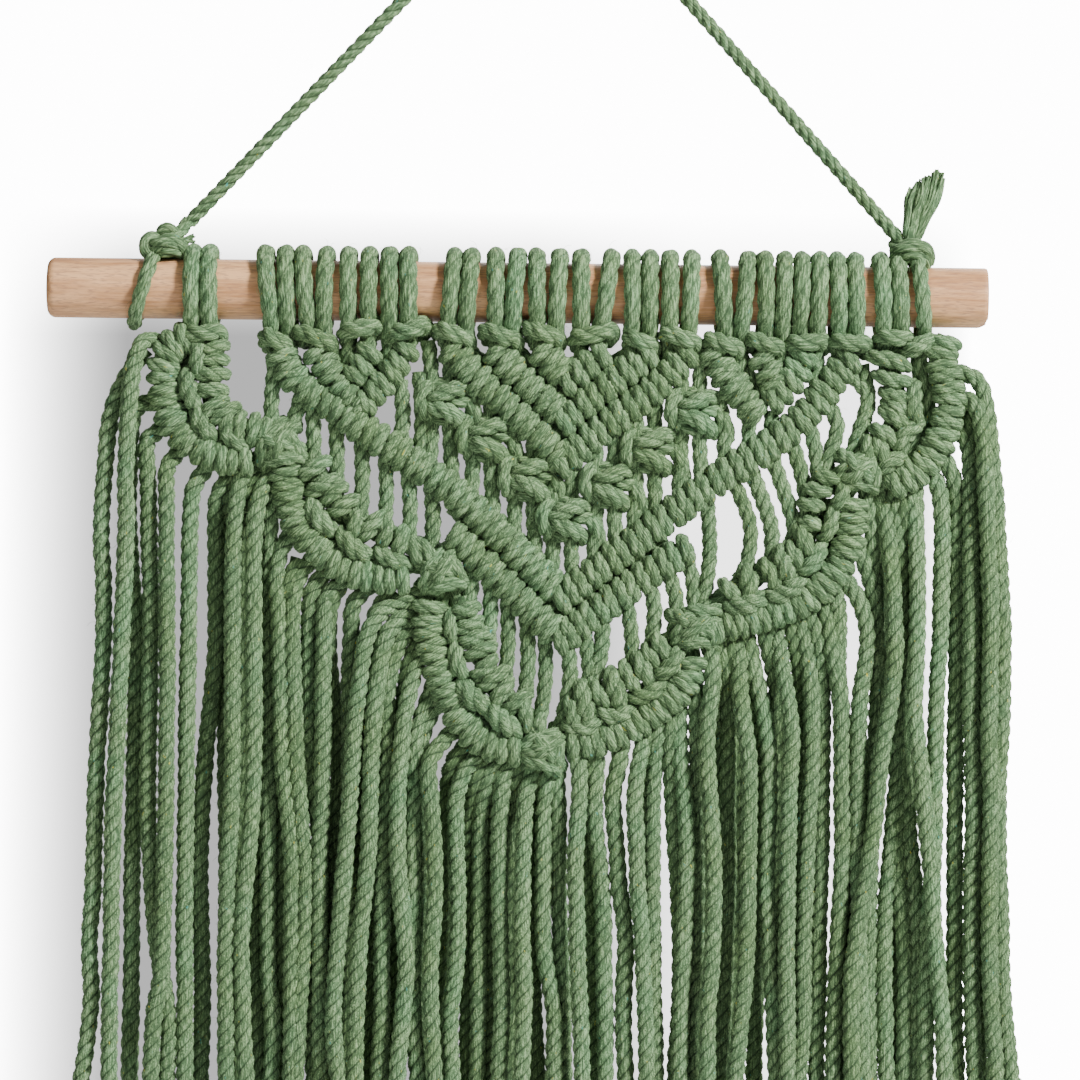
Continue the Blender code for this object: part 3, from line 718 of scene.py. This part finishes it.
# The free cords: the working cords where they run loose from one row of knots down to
# the next, a little slack and with the white wall showing between them.
FREE_CORDS = (
    (276, 366, 273, 400, 272, 436), (304, 392, 296, 415, 289, 440),
    (314, 404, 315, 440, 313, 480), (337, 418, 338, 465, 336, 520),
    (361, 432, 362, 480, 360, 536), (385, 448, 387, 495, 384, 546),
    (407, 462, 411, 505, 408, 548), (432, 480, 433, 520, 431, 562),
    (401, 380, 403, 415, 400, 452), (420, 372, 423, 415, 421, 464),
    (348, 392, 350, 420),
    (474, 556, 470, 595, 462, 640), (492, 576, 490, 630, 482, 690),
    (508, 590, 508, 650, 501, 712), (526, 608, 528, 665, 520, 722),
    (544, 626, 546, 680, 538, 735), (566, 640, 569, 680, 558, 735),
    (584, 632, 590, 670, 588, 712), (603, 616, 602, 650, 592, 690),
    (626, 594, 632, 640, 630, 680), (646, 576, 655, 610, 648, 660),
    (664, 562, 675, 600, 672, 640), (683, 548, 692, 580, 694, 615),
    (474, 506, 476, 556), (512, 544, 514, 592), (590, 566, 592, 624), (636, 530, 640, 580),
    (552, 584, 551, 640), (568, 584, 568, 645),
    (706, 492, 709, 551, 703, 604), (730, 476, 749, 524, 746, 562, 737, 580),
    (749, 464, 769, 522, 772, 550, 774, 572), (768, 450, 788, 508, 794, 530, 790, 556),
    (788, 432, 803, 480, 806, 520), (806, 412, 816, 460, 816, 510),
    (822, 396, 836, 425, 828, 462, 828, 492), (846, 372, 868, 396, 858, 430, 849, 460),
    (860, 366, 868, 394, 862, 424, 852, 456),
    (719, 394, 724, 430, 724, 476), (742, 392, 748, 425, 746, 458), (770, 412, 772, 446),
)


def first_bar_below(across):
    """How far down the first hitch bar lies under the rod here, or None."""
    found = []
    for numbers in DIAGONALS.values():
        points = paired(numbers)
        for (a, b), (c, d) in zip(points, points[1:]):
            if min(a, c) - 4 <= across <= max(a, c) + 4 and a != c:
                found.append(b + (d - b) * (across - a) / (c - a))
    return min(found) if found else None


free = []
for places in FREE_CORDS:
    path = [(a, d, 15) for a, d in paired(places)]
    free.append(any_strand(path, rng.uniform(15, 16.5), 42, 1.0, 0.0))
for top, foot in LOOPS[2:-2]:
    reach = first_bar_below(foot)
    if reach:
        low = rod_axis(foot)
        path = [(foot, low + 40, 14), (foot, (low + 44 + reach) / 2, 17), (foot, reach + 4, 19)]
        free.append(any_strand(path, 15.5, 44, 0.0, 0.0))
free_piece = lay_cord("free_cords", free, ring_step=3.4, ply_points=4)

# The chains: inside each scallop a few cords are covered by lark's heads, one after the
# other. Each is two turns round the chain and a short length along its outer side.
SCALLOP_BARS = (
    (190, 336, 177, 343, 167, 357, 165, 374, 166, 392, 172, 418, 190, 441, 216, 456, 252, 461),
    (286, 468, 289, 491, 295, 515, 308, 536, 334, 561, 367, 575, 408, 578),
    (430, 602, 430, 630, 435, 655, 441, 675, 449, 698, 460, 716, 474, 733, 493, 745, 520, 749),
    (568, 742, 589, 741, 611, 735, 632, 724, 647, 715, 662, 705, 678, 691, 688, 677, 693, 658),
    (
        710, 627, 726, 624, 756, 617, 782, 609, 802, 601, 817, 590, 830, 577, 840, 564, 847, 546, 850, 526,
        850, 500,
    ),
    (
        888, 486, 906, 478, 920, 468, 929, 457, 937, 445, 942, 432, 947, 417, 948, 401, 947, 386, 942, 370,
        938, 358, 946, 338,
    ),
)
# Each turn's two ends, as places across and down, with the cord's thickness.
CHAIN_TURNS = (
    (13, 202, 349, 227, 346), (13, 201, 362, 227, 361), (14, 197, 375, 227, 375), (14, 198, 391, 226, 391),
    (13, 204, 417, 226, 400), (13, 212, 424, 238, 407), (13, 227, 441, 231, 411), (13, 240, 443, 243, 414),
    (13, 252, 444, 257, 417), (13, 264, 446, 268, 422),
    (14, 301, 477, 329, 461), (14, 308, 493, 337, 478), (14, 325, 502, 345, 487), (14, 332, 513, 356, 499),
    (13, 354, 540, 357, 511), (15, 361, 538, 382, 515), (13, 382, 547, 388, 516), (14, 398, 554, 405, 529),
    (13, 410, 540, 421, 562), (13, 420, 542, 433, 562),
    (14, 455, 612, 477, 606), (14, 457, 629, 480, 620), (15, 462, 643, 489, 632), (14, 468, 656, 493, 646),
    (14, 474, 676, 494, 657), (14, 480, 688, 506, 668), (14, 494, 705, 510, 681), (14, 505, 713, 529, 693),
    (13, 522, 692, 533, 734), (12, 541, 716, 542, 740),
    (13, 569, 699, 574, 727), (17, 581, 684, 588, 723), (13, 593, 683, 610, 705), (17, 611, 671, 619, 706),
    (13, 623, 663, 638, 690), (16, 638, 654, 651, 683), (13, 645, 646, 658, 664), (14, 655, 636, 667, 656),
    (13, 722, 582, 739, 598), (17, 744, 569, 748, 595), (14, 762, 562, 775, 589), (17, 779, 549, 786, 580),
    (14, 787, 544, 801, 566), (15, 798, 527, 810, 554), (13, 802, 521, 818, 526), (13, 800, 503, 820, 507),
    (13, 806, 488, 828, 492), (13, 816, 474, 838, 480),
    (14, 868, 357, 906, 368), (13, 874, 375, 908, 384), (13, 881, 392, 909, 400), (14, 884, 404, 908, 416),
    (14, 881, 411, 906, 429), (14, 872, 428, 896, 445), (13, 866, 438, 867, 463), (15, 876, 438, 886, 463),
    (15, 904, 353, 930, 340),
)
# Each length that runs along the chain's outer side, with how far its middle bows outwards.
CHAIN_SIDES = (
    (14, 201, 340, 199, 375, 1), (16, 190, 371, 198, 409, -2), (16, 198, 409, 216, 438, -2),
    (13, 225, 430, 246, 448, 0),
    (17, 312, 500, 334, 532, -2), (17, 342, 532, 370, 556, -2), (15, 378, 549, 409, 563, -2),
    (12, 452, 611, 454, 641, 0), (14, 457, 643, 465, 677, -2), (19, 463, 681, 487, 706, -2),
    (19, 491, 704, 519, 732, -2),
    (14, 565, 724, 600, 715, -7), (14, 596, 708, 633, 703, -9), (14, 629, 698, 663, 680, -3),
    (15, 656, 676, 678, 647, -3),
    (13, 686, 611, 722, 609, 0), (13, 688, 623, 724, 621, 0), (18, 726, 606, 765, 596, -1),
    (17, 765, 597, 802, 577, -3),
    (15, 799, 572, 821, 544, -2), (13, 820, 540, 832, 507, -2), (13, 832, 508, 842, 482, -2),
    (15, 914, 385, 916, 423, -2), (15, 919, 424, 898, 454, -4), (14, 902, 458, 879, 474, -2),
)
# The cords that each chain covers.
CHAIN_CORES = (
    (214, 338, 213, 365, 212, 392, 222, 414, 240, 427, 268, 436),
    (296, 462, 318, 476, 331, 494, 344, 514, 368, 526, 395, 537, 432, 552),
    (462, 596, 467, 618, 476, 645, 488, 668, 502, 694, 520, 708, 538, 732),
    (562, 720, 584, 704, 604, 690, 622, 680, 642, 666, 660, 648, 680, 636),
    (706, 612, 732, 592, 756, 576, 780, 564, 798, 548, 809, 528, 812, 505, 824, 484, 844, 476),
    (866, 462, 882, 450, 892, 430, 896, 408, 893, 384, 888, 362, 900, 346),
)
# How a chain's cord swells, as shares of its thickness from end to end.
LEAF = (0.55, 0.84, 1.12, 1.22, 1.12, 0.84, 0.55)
# What each turn does from end to end: its share of the way across, and of its rise.
CROSSING = ((0.06, 0.0), (0.0, 0.55), (0.2, 0.93), (0.5, 1.0), (0.8, 0.93), (1.0, 0.55), (0.94, 0.0))
PANEL_MIDDLE = Vector((548, 480))
# Places where a cord behind the chains closes a gap.
CHAIN_GAPS = ((458, 596), (689, 652), (300, 470))


def crossing(start, end, bow=0.0, low=8, high=29):
    """A cord that comes up at the start, crosses in front and goes back in at the end."""
    a, b = Vector(start), Vector(end)
    side = Vector(((b - a).y, -(b - a).x)).normalized()
    path = []
    for share, rise in CROSSING:
        place = a.lerp(b, share) + side * bow * math.sin(math.pi * share)
        path.append((place.x, place.y, low + (high - low) * rise))
    return path


chains = []
for thick, *ends in CHAIN_TURNS:
    path = crossing(ends[:2], ends[2:], rng.uniform(-2, 2))
    chains.append(any_strand(path, [thick * full for full in LEAF], 44, 0.5))
for thick, *ends, bow in CHAIN_SIDES:
    path = crossing(ends[:2], ends[2:], bow - 2, 6, 30)
    chains.append(any_strand(path, [thick * full for full in LEAF], 42, 0.5))
for bar in SCALLOP_BARS:
    inner = [Vector(p) + (PANEL_MIDDLE - Vector(p)).normalized() * 22 for p in paired(bar)]
    chains.append(covered(inner, 7, 17, 16))
chains += [covered(paired(core), 11, 22) for core in CHAIN_CORES]
for across, down in CHAIN_GAPS:
    path = [(across - 8, down - 14, 6), (across, down, 8), (across + 4, down + 14, 6)]
    chains.append(any_strand(path, 20, 60))
chains_piece = lay_cord("scallop_chains", chains, ring_step=3.2, ply_points=4)

# The gathering knots: where two scallops meet, their cords cross and are pulled into
# one rough knot, with the fibres rubbed up.
GATHERS = ((279, 446), (441, 571), (544, 747), (694, 628), (857, 471))
GATHER_CORDS = (
    (15, ((-24, -12, 8), (-17, -11, 24), (-2, -4, 34), (14, 4, 29), (24, 10, 10))),
    (14, ((22, -16, 8), (15, -14, 24), (3, -3, 37), (-10, 9, 29), (-20, 17, 10))),
    (14, ((-16, 22, 6), (-18, 10, 24), (-11, -6, 31), (2, -15, 27), (12, -22, 8))),
    (14, ((-23, 8, 6), (-11, 13, 25), (4, 13, 32), (17, 15, 24), (24, 18, 8))),
    (14, ((14, 22, 8), (18, 9, 26), (14, -6, 30), (6, -17, 20), (2, -24, 8))),
    (14, ((-8, 24, 8), (-4, 14, 26), (0, 2, 35), (6, -10, 26), (10, -22, 8))),
)
gathers = []
for across, down in GATHERS:
    turn = Matrix.Rotation(rng.uniform(-0.5, 0.5), 2)
    for thick, cord in GATHER_CORDS:
        path = []
        for a, d, z in cord:
            place = turn @ Vector((a, d))
            path.append((across + place.x, down + place.y, z))
        gathers.append(any_strand(path, thick * rng.uniform(0.95, 1.1), 46, 1.5, 0.2))
gathers_piece = lay_cord("gathering_knots", gathers, ring_step=3.0, ply_points=4, hairs=40000.0)
for piece in (larks_piece, folds_piece, bars_piece, knots_piece, free_piece, chains_piece, gathers_piece):
    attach(piece, "root")
    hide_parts("knotted_panel")

# The fringe: each scallop's carrier is close wrapped by its cords, and every cord then
# comes out under the scallop's outer edge, bends down and hangs to the trimmed hem.
FRINGE_CORD = 17.2
SCALLOP_PITCH, SCALLOP_CORD = 11.9, 14.0
# How far a strand hangs towards the viewer, and how much darker or paler painted shade makes it there.
DEEP, BACK, MIDDLE, FRONT = -11, 2, 17, 31
TOP_DEPTHS = (8, 13)
PAINTED_DEPTH_SHADES = {DEEP: -2.6, BACK: -0.6, MIDDLE: 0.0, FRONT: -0.1}
# For each scallop its strands: the depth, then places across, down, across, down. A last
# number without its pair is the place across where the strand reaches HEM_SIDE_DOWN.
FRINGE_1 = (
    (MIDDLE, 146, 350, 127, 378, 112, 414, 105, 483, 103, 540, 105, 629, 97, 780, 95, 878, 91, 939, 92, 1000,
        83),
    (FRONT, 170, 349, 155, 339, 141, 347, 133, 385, 128, 464, 128, 549, 117, 780, 114, 878, 111),
    (BACK, 160, 400, 140, 402, 131, 440, 129, 520, 132, 580, 137, 640, 132, 878, 132, 967, 129),
    (MIDDLE, 170, 425, 153, 432, 149, 460, 152, 629, 149, 800, 152, 869, 158, 939, 170, 1022, 167),
    (FRONT, 186, 446, 172, 460, 168, 490, 169, 629, 168, 780, 164, 953, 157, 1008, 152),
    (MIDDLE, 210, 464, 199, 478, 192, 505, 190, 560, 190, 629, 186, 850, 186),
    (BACK, 232, 472, 222, 486, 216, 520, 216, 640, 207, 740, 201, 830, 200, 883, 202, 980, 200),
    (FRONT, 262, 456, 247, 468, 238, 500, 235, 560, 234, 629, 234, 780, 229, 883, 227, 967, 228),
    (FRONT, 288, 456, 273, 472, 260, 500, 256, 534, 255, 629, 255, 780, 247, 883, 243, 953, 247),
    (BACK, 286, 476, 273, 500, 269, 629, 268, 800, 268, 967, 273, 1022, 271),
    (DEEP, 250, 470, 236, 490, 225, 530, 225, 640, 225, 780, 226, 860, 226),
    (DEEP, 262, 470, 250, 490, 244, 530, 243, 640, 243, 780, 240, 883, 238),
    (DEEP, 272, 480, 264, 500, 262, 560, 262, 780, 257, 883, 256, 967, 260),
)
FRINGE_2 = (
    (MIDDLE, 297, 525, 284, 545, 277, 575, 280, 629, 283, 760, 291, 830, 293, 883, 292),
    (MIDDLE, 318, 552, 303, 570, 294, 600, 293, 640, 297, 760, 303, 830, 306, 900, 296),
    (BACK, 330, 566, 313, 590, 309, 629, 310, 780, 319, 830, 316, 880, 311, 939, 310, 1000, 314),
    (MIDDLE, 350, 576, 332, 590, 325, 620, 323, 780, 320, 880, 322),
    (BACK, 372, 584, 355, 600, 351, 640, 349, 709, 349, 800, 338, 939, 332, 1000, 338),
    (FRONT, 428, 588, 405, 599, 374, 622, 364, 660, 356, 723, 347, 850, 335, 1000, 339),
    (FRONT, 432, 600, 408, 611, 387, 636, 377, 690, 372, 760, 368, 869, 360, 939, 357, 1008, 356),
    (MIDDLE, 436, 612, 412, 626, 395, 655, 387, 700, 388, 760, 384, 840, 382, 911, 382, 1008, 379),
    (FRONT, 440, 640, 423, 654, 410, 690, 402, 745, 398, 810, 400, 883, 407, 953, 404, 1008, 398),
    (MIDDLE, 436, 680, 424, 710, 415, 750, 413, 960, 414, 1036, 419),
    (DEEP, 300, 560, 288, 590, 284, 640, 284, 760, 281, 860, 282),
    (DEEP, 344, 580, 332, 600, 329, 650, 337, 740, 337, 800, 332, 869, 329),
    (DEEP, 392, 590, 378, 610, 367, 650, 362, 700, 361, 780, 357, 869, 350, 939, 346),
    (DEEP, 404, 620, 390, 640, 380, 700, 378, 780, 370, 939, 368),
    (DEEP, 420, 640, 408, 670, 401, 710, 396, 760, 392, 820, 392, 883, 394, 1008, 390),
)
FRINGE_3 = (
    (BACK, 440, 700, 426, 722, 419, 768, 424, 860, 421, 960, 424),
    (FRONT, 464, 722, 450, 736, 434, 750, 429, 775, 434, 830, 435, 883, 431, 967, 432, 1022, 435),
    (MIDDLE, 492, 748, 476, 758, 460, 780, 456, 824, 458, 911, 456, 967, 450, 1022, 452),
    (BACK, 504, 750, 490, 772, 482, 805, 480, 870, 477),
    (MIDDLE, 522, 752, 508, 768, 501, 805, 499, 883, 502, 994, 499),
    (FRONT, 542, 750, 531, 776, 525, 810, 522, 911, 524, 994, 522),
    (MIDDLE, 549, 752, 547, 787, 543, 830, 543, 911, 545, 967, 554, 1008, 554),
    (BACK, 556, 750, 558, 800, 559, 900, 563, 1000, 564),
    (DEEP, 470, 740, 456, 756, 447, 790, 446, 911, 443, 967, 441),
    (DEEP, 490, 750, 479, 770, 470, 820, 468, 911, 467),
    (DEEP, 506, 750, 498, 770, 491, 820, 489, 994, 488),
    (DEEP, 526, 752, 518, 770, 512, 820, 511, 994, 511),
    (DEEP, 540, 752, 537, 770, 533, 820, 533, 994, 538),
)
FRINGE_4 = (
    (FRONT, 560, 738, 571, 752, 580, 772, 575, 850, 576, 911, 582),
    (MIDDLE, 598, 742, 598, 762, 594, 805, 602, 897, 604, 980, 605),
    (MIDDLE, 622, 732, 621, 752, 613, 795, 619, 883, 625, 939, 623, 1022, 625),
    (FRONT, 645, 718, 643, 741, 635, 790, 637, 883, 643, 967, 646),
    (BACK, 660, 704, 657, 740, 652, 800, 653, 980, 656),
    (BACK, 672, 694, 670, 730, 672, 800, 680, 920, 680, 980, 675),
    (MIDDLE, 680, 688, 679, 734, 683, 790, 687, 850, 682, 967, 679),
    (BACK, 690, 664, 696, 703, 697, 800, 698, 900, 694),
    (DEEP, 590, 738, 590, 760, 587, 830, 592, 980, 594),
    (DEEP, 652, 708, 649, 730, 645, 800, 646, 900, 650),
)
FRINGE_5 = (
    (FRONT, 700, 625, 708, 640, 712, 680, 706, 745, 712, 860, 711, 953, 707, 1008, 706),
    (BACK, 716, 634, 724, 660, 729, 720, 727, 800, 728, 860, 724, 994, 722),
    (FRONT, 739, 636, 740, 656, 738, 682, 748, 760, 748, 810, 745, 953, 734),
    (MIDDLE, 744, 640, 749, 657, 759, 690, 767, 740, 768, 790, 766, 883, 773, 1022, 775),
    (FRONT, 774, 622, 778, 642, 782, 670, 789, 715, 790, 750, 787, 800, 785, 967, 786),
    (MIDDLE, 796, 606, 801, 627, 808, 670, 811, 720, 810, 780, 806, 850, 802, 967, 802, 1022, 798),
    (BACK, 806, 604, 815, 630, 822, 690, 822, 800, 818, 967, 816),
    (MIDDLE, 818, 594, 826, 612, 833, 660, 840, 700, 841, 760, 841, 870, 835, 980, 832),
    (BACK, 834, 584, 838, 620, 838, 680, 851, 800, 849, 900, 846),
    (MIDDLE, 842, 576, 852, 590, 863, 612, 866, 650, 857, 730, 858, 940, 862),
    (BACK, 850, 530, 866, 570, 876, 620, 877, 740, 872, 800, 868, 967, 869),
    (DEEP, 712, 630, 716, 660, 718, 740, 717, 953, 715),
    (DEEP, 728, 630, 733, 660, 735, 740, 738, 800, 737, 883, 735, 953, 728),
    (DEEP, 744, 626, 752, 660, 756, 710, 758, 790, 757, 953, 754),
    (DEEP, 762, 622, 770, 660, 777, 700, 779, 780, 776, 883, 777, 967, 780),
    (DEEP, 786, 608, 795, 650, 801, 700, 801, 780, 796, 860, 792),
)
FRINGE_6 = (
    (BACK, 862, 480, 870, 520, 874, 580, 880, 660, 896, 760, 896, 790, 885, 925, 886),
    (FRONT, 868, 474, 882, 505, 889, 560, 893, 640, 889, 700, 881, 745, 870, 840, 851, 967, 850),
    (BACK, 890, 480, 898, 540, 902, 640, 901, 760, 898, 850, 905, 967, 904),
    (FRONT, 900, 476, 911, 500, 916, 560, 915, 660, 912, 700, 920, 780, 928, 860, 934, 953, 940, 1022, 943),
    (BACK, 912, 470, 915, 520, 914, 640, 910, 740, 908, 820, 913, 870, 918, 939, 918),
    (MIDDLE, 926, 462, 936, 482, 941, 520, 939, 640, 935, 700, 932, 860, 926, 960, 924),
    (BACK, 936, 448, 951, 474, 956, 520, 956, 640, 955, 800, 954, 939, 956),
    (MIDDLE, 950, 420, 965, 436, 969, 489, 970, 580, 969, 700, 972, 800, 969, 939, 973),
    (FRONT, 950, 396, 968, 398, 977, 416, 982, 460, 988, 590, 988, 680, 986, 720, 989, 800, 987, 939, 993),
    (MIDDLE, 950, 370, 970, 374, 984, 400, 990, 450, 995, 510, 1002, 650, 997, 800, 1000, 939, 1003, 1008,
        1010, 1076),
    (DEEP, 876, 488, 884, 530, 885, 600, 883, 680, 874, 760, 868, 860, 866, 967, 867),
    (DEEP, 898, 486, 905, 520, 907, 600, 904, 700, 896, 860, 898, 967, 896),
    (DEEP, 960, 410, 972, 430, 978, 480, 979, 680, 980, 800, 978, 939, 981),
)
FRINGES = (FRINGE_1, FRINGE_2, FRINGE_3, FRINGE_4, FRINGE_5, FRINGE_6)
HEM_SIDE_DOWN, HEM_MIDDLE_DOWN = 1078, 1165
HEM_LEFT, HEM_RIGHT = 84, 1006


def hem_down(across):
    """How far down a strand that ends at this place across is trimmed."""
    share = abs(across - (HEM_LEFT + HEM_RIGHT) / 2) / ((HEM_RIGHT - HEM_LEFT) / 2)
    return HEM_MIDDLE_DOWN + (HEM_SIDE_DOWN - HEM_MIDDLE_DOWN) * min(share, 1.0) ** 1.5


def fringe_strand(depth, *numbers):
    """A strand from its place behind the bar through the given ones to the hem."""
    if len(numbers) % 2:
        numbers = (*numbers, HEM_SIDE_DOWN)
    depths = [*TOP_DEPTHS, depth + (12 - depth) * 0.3] + [depth] * len(numbers)
    path = [(across, down, deep) for (across, down), deep in zip(paired(numbers), depths)]
    foot, low, deep = path[-1]
    end = hem_down(foot)
    if end > low + 12:
        path.append((foot, end, deep))
    path = evenly(path, 30)
    path.append(path[-1] + Vector((0, 4, 0)))
    thick = [FRINGE_CORD * rng.uniform(0.96, 1.04) for _ in path]
    thick[-1] *= 1.25
    return any_strand([tuple(p) for p in path], thick, 42, 0.5, 0.0, PAINTED_DEPTH_SHADES[depth])


for number, (bar, fringe) in enumerate(zip(SCALLOP_BARS, FRINGES), 1):
    strands = wraps(paired(bar), SCALLOP_PITCH, BAR_BREADTH, BAR_BODY, SCALLOP_CORD, lay=44)
    strands += [fringe_strand(*strand) for strand in fringe]
    piece = lay_cord(f"fringe_{number}_cords", strands, ring_step=3.7, lobe=0.35)
    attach(piece, "root")
    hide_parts(f"fringe_{number}")

# The studio: a pale floor well below, a white surround and three soft lights.
FLOOR_DROP = 0.30


def soft_light(name, place, size, power):
    lamp = bpy.data.lights.new(name, "AREA")
    lamp.shape = "DISK"
    lamp.size = size
    lamp.energy = power
    holder = bpy.data.objects.new(name, lamp)
    way = aim - Vector(place)
    holder.matrix_world = Matrix.Translation(place) @ way.to_track_quat("-Z", "Y").to_matrix().to_4x4()
    bpy.context.scene.collection.objects.link(holder)


floor_level = cad_low.z - FLOOR_DROP
floor_corners = [(x, y, floor_level) for x, y in ((-2, -2), (2, -2), (2, 2), (-2, 2))]
floor_mesh = bpy.data.meshes.new("floor")
floor_mesh.from_pydata(floor_corners, [], [(0, 1, 2, 3)])
floor_paint = new_material("floor_paint")
finish(floor_paint, {"Base Color": (0.82, 0.82, 0.81, 1), "Roughness": 0.9})
floor_mesh.materials.append(floor_paint)
floor = bpy.data.objects.new("floor", floor_mesh)
bpy.context.scene.collection.objects.link(floor)
floor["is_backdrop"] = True
soft_light("key", (1.05, -1.05, 0.75), 0.34, 75)
soft_light("fill", (-0.7, -1.4, 0.3), 1.2, 3)
soft_light("back", (0.3, 1.2, 0.6), 1.0, 22)
world = bpy.data.worlds.new("surround")
world.use_nodes = True
air = world.node_tree
seen = add_node(air, "ShaderNodeLightPath").outputs["Is Camera Ray"]
way = add_node(air, "ShaderNodeTexCoord").outputs["Generated"]
way = add_node(air, "ShaderNodeSeparateXYZ", way).outputs
ambient = spread(way["Y"], -0.3, 0.3, 0.31, 0.12)
# Straight ahead the surround is a white wall, with the soft shadow of the piece on it.
WALL_GLOW = 14.0
WALL_SHADOW = 0.036
reach = CAMERA_DISTANCE / SQUARE
ahead = sums("MAXIMUM", way["Y"], 0.01)
across = times(over(way["X"], ahead), reach)
down = times(over(way["Z"], ahead), -reach)
painted_shade = times(spread(across, -545, -415), spread(across, -10, 150, 1.0, 0.45))
painted_shade = times(painted_shade, spread(across, 385, 430, 1.0, 0.0))
painted_shade = times(painted_shade, spread(down, -330, -200))
painted_shade = times(painted_shade, spread(way["Y"], 0.3, 0.6))
wall = times(sums("POWER", WALL_SHADOW, painted_shade), WALL_GLOW)
background = air.nodes["Background"].inputs
feed(background["Strength"], plus(ambient, times(seen, wall)))
background["Color"].default_value = (1, 1, 1, 1)
bpy.context.scene.world = world

low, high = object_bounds()
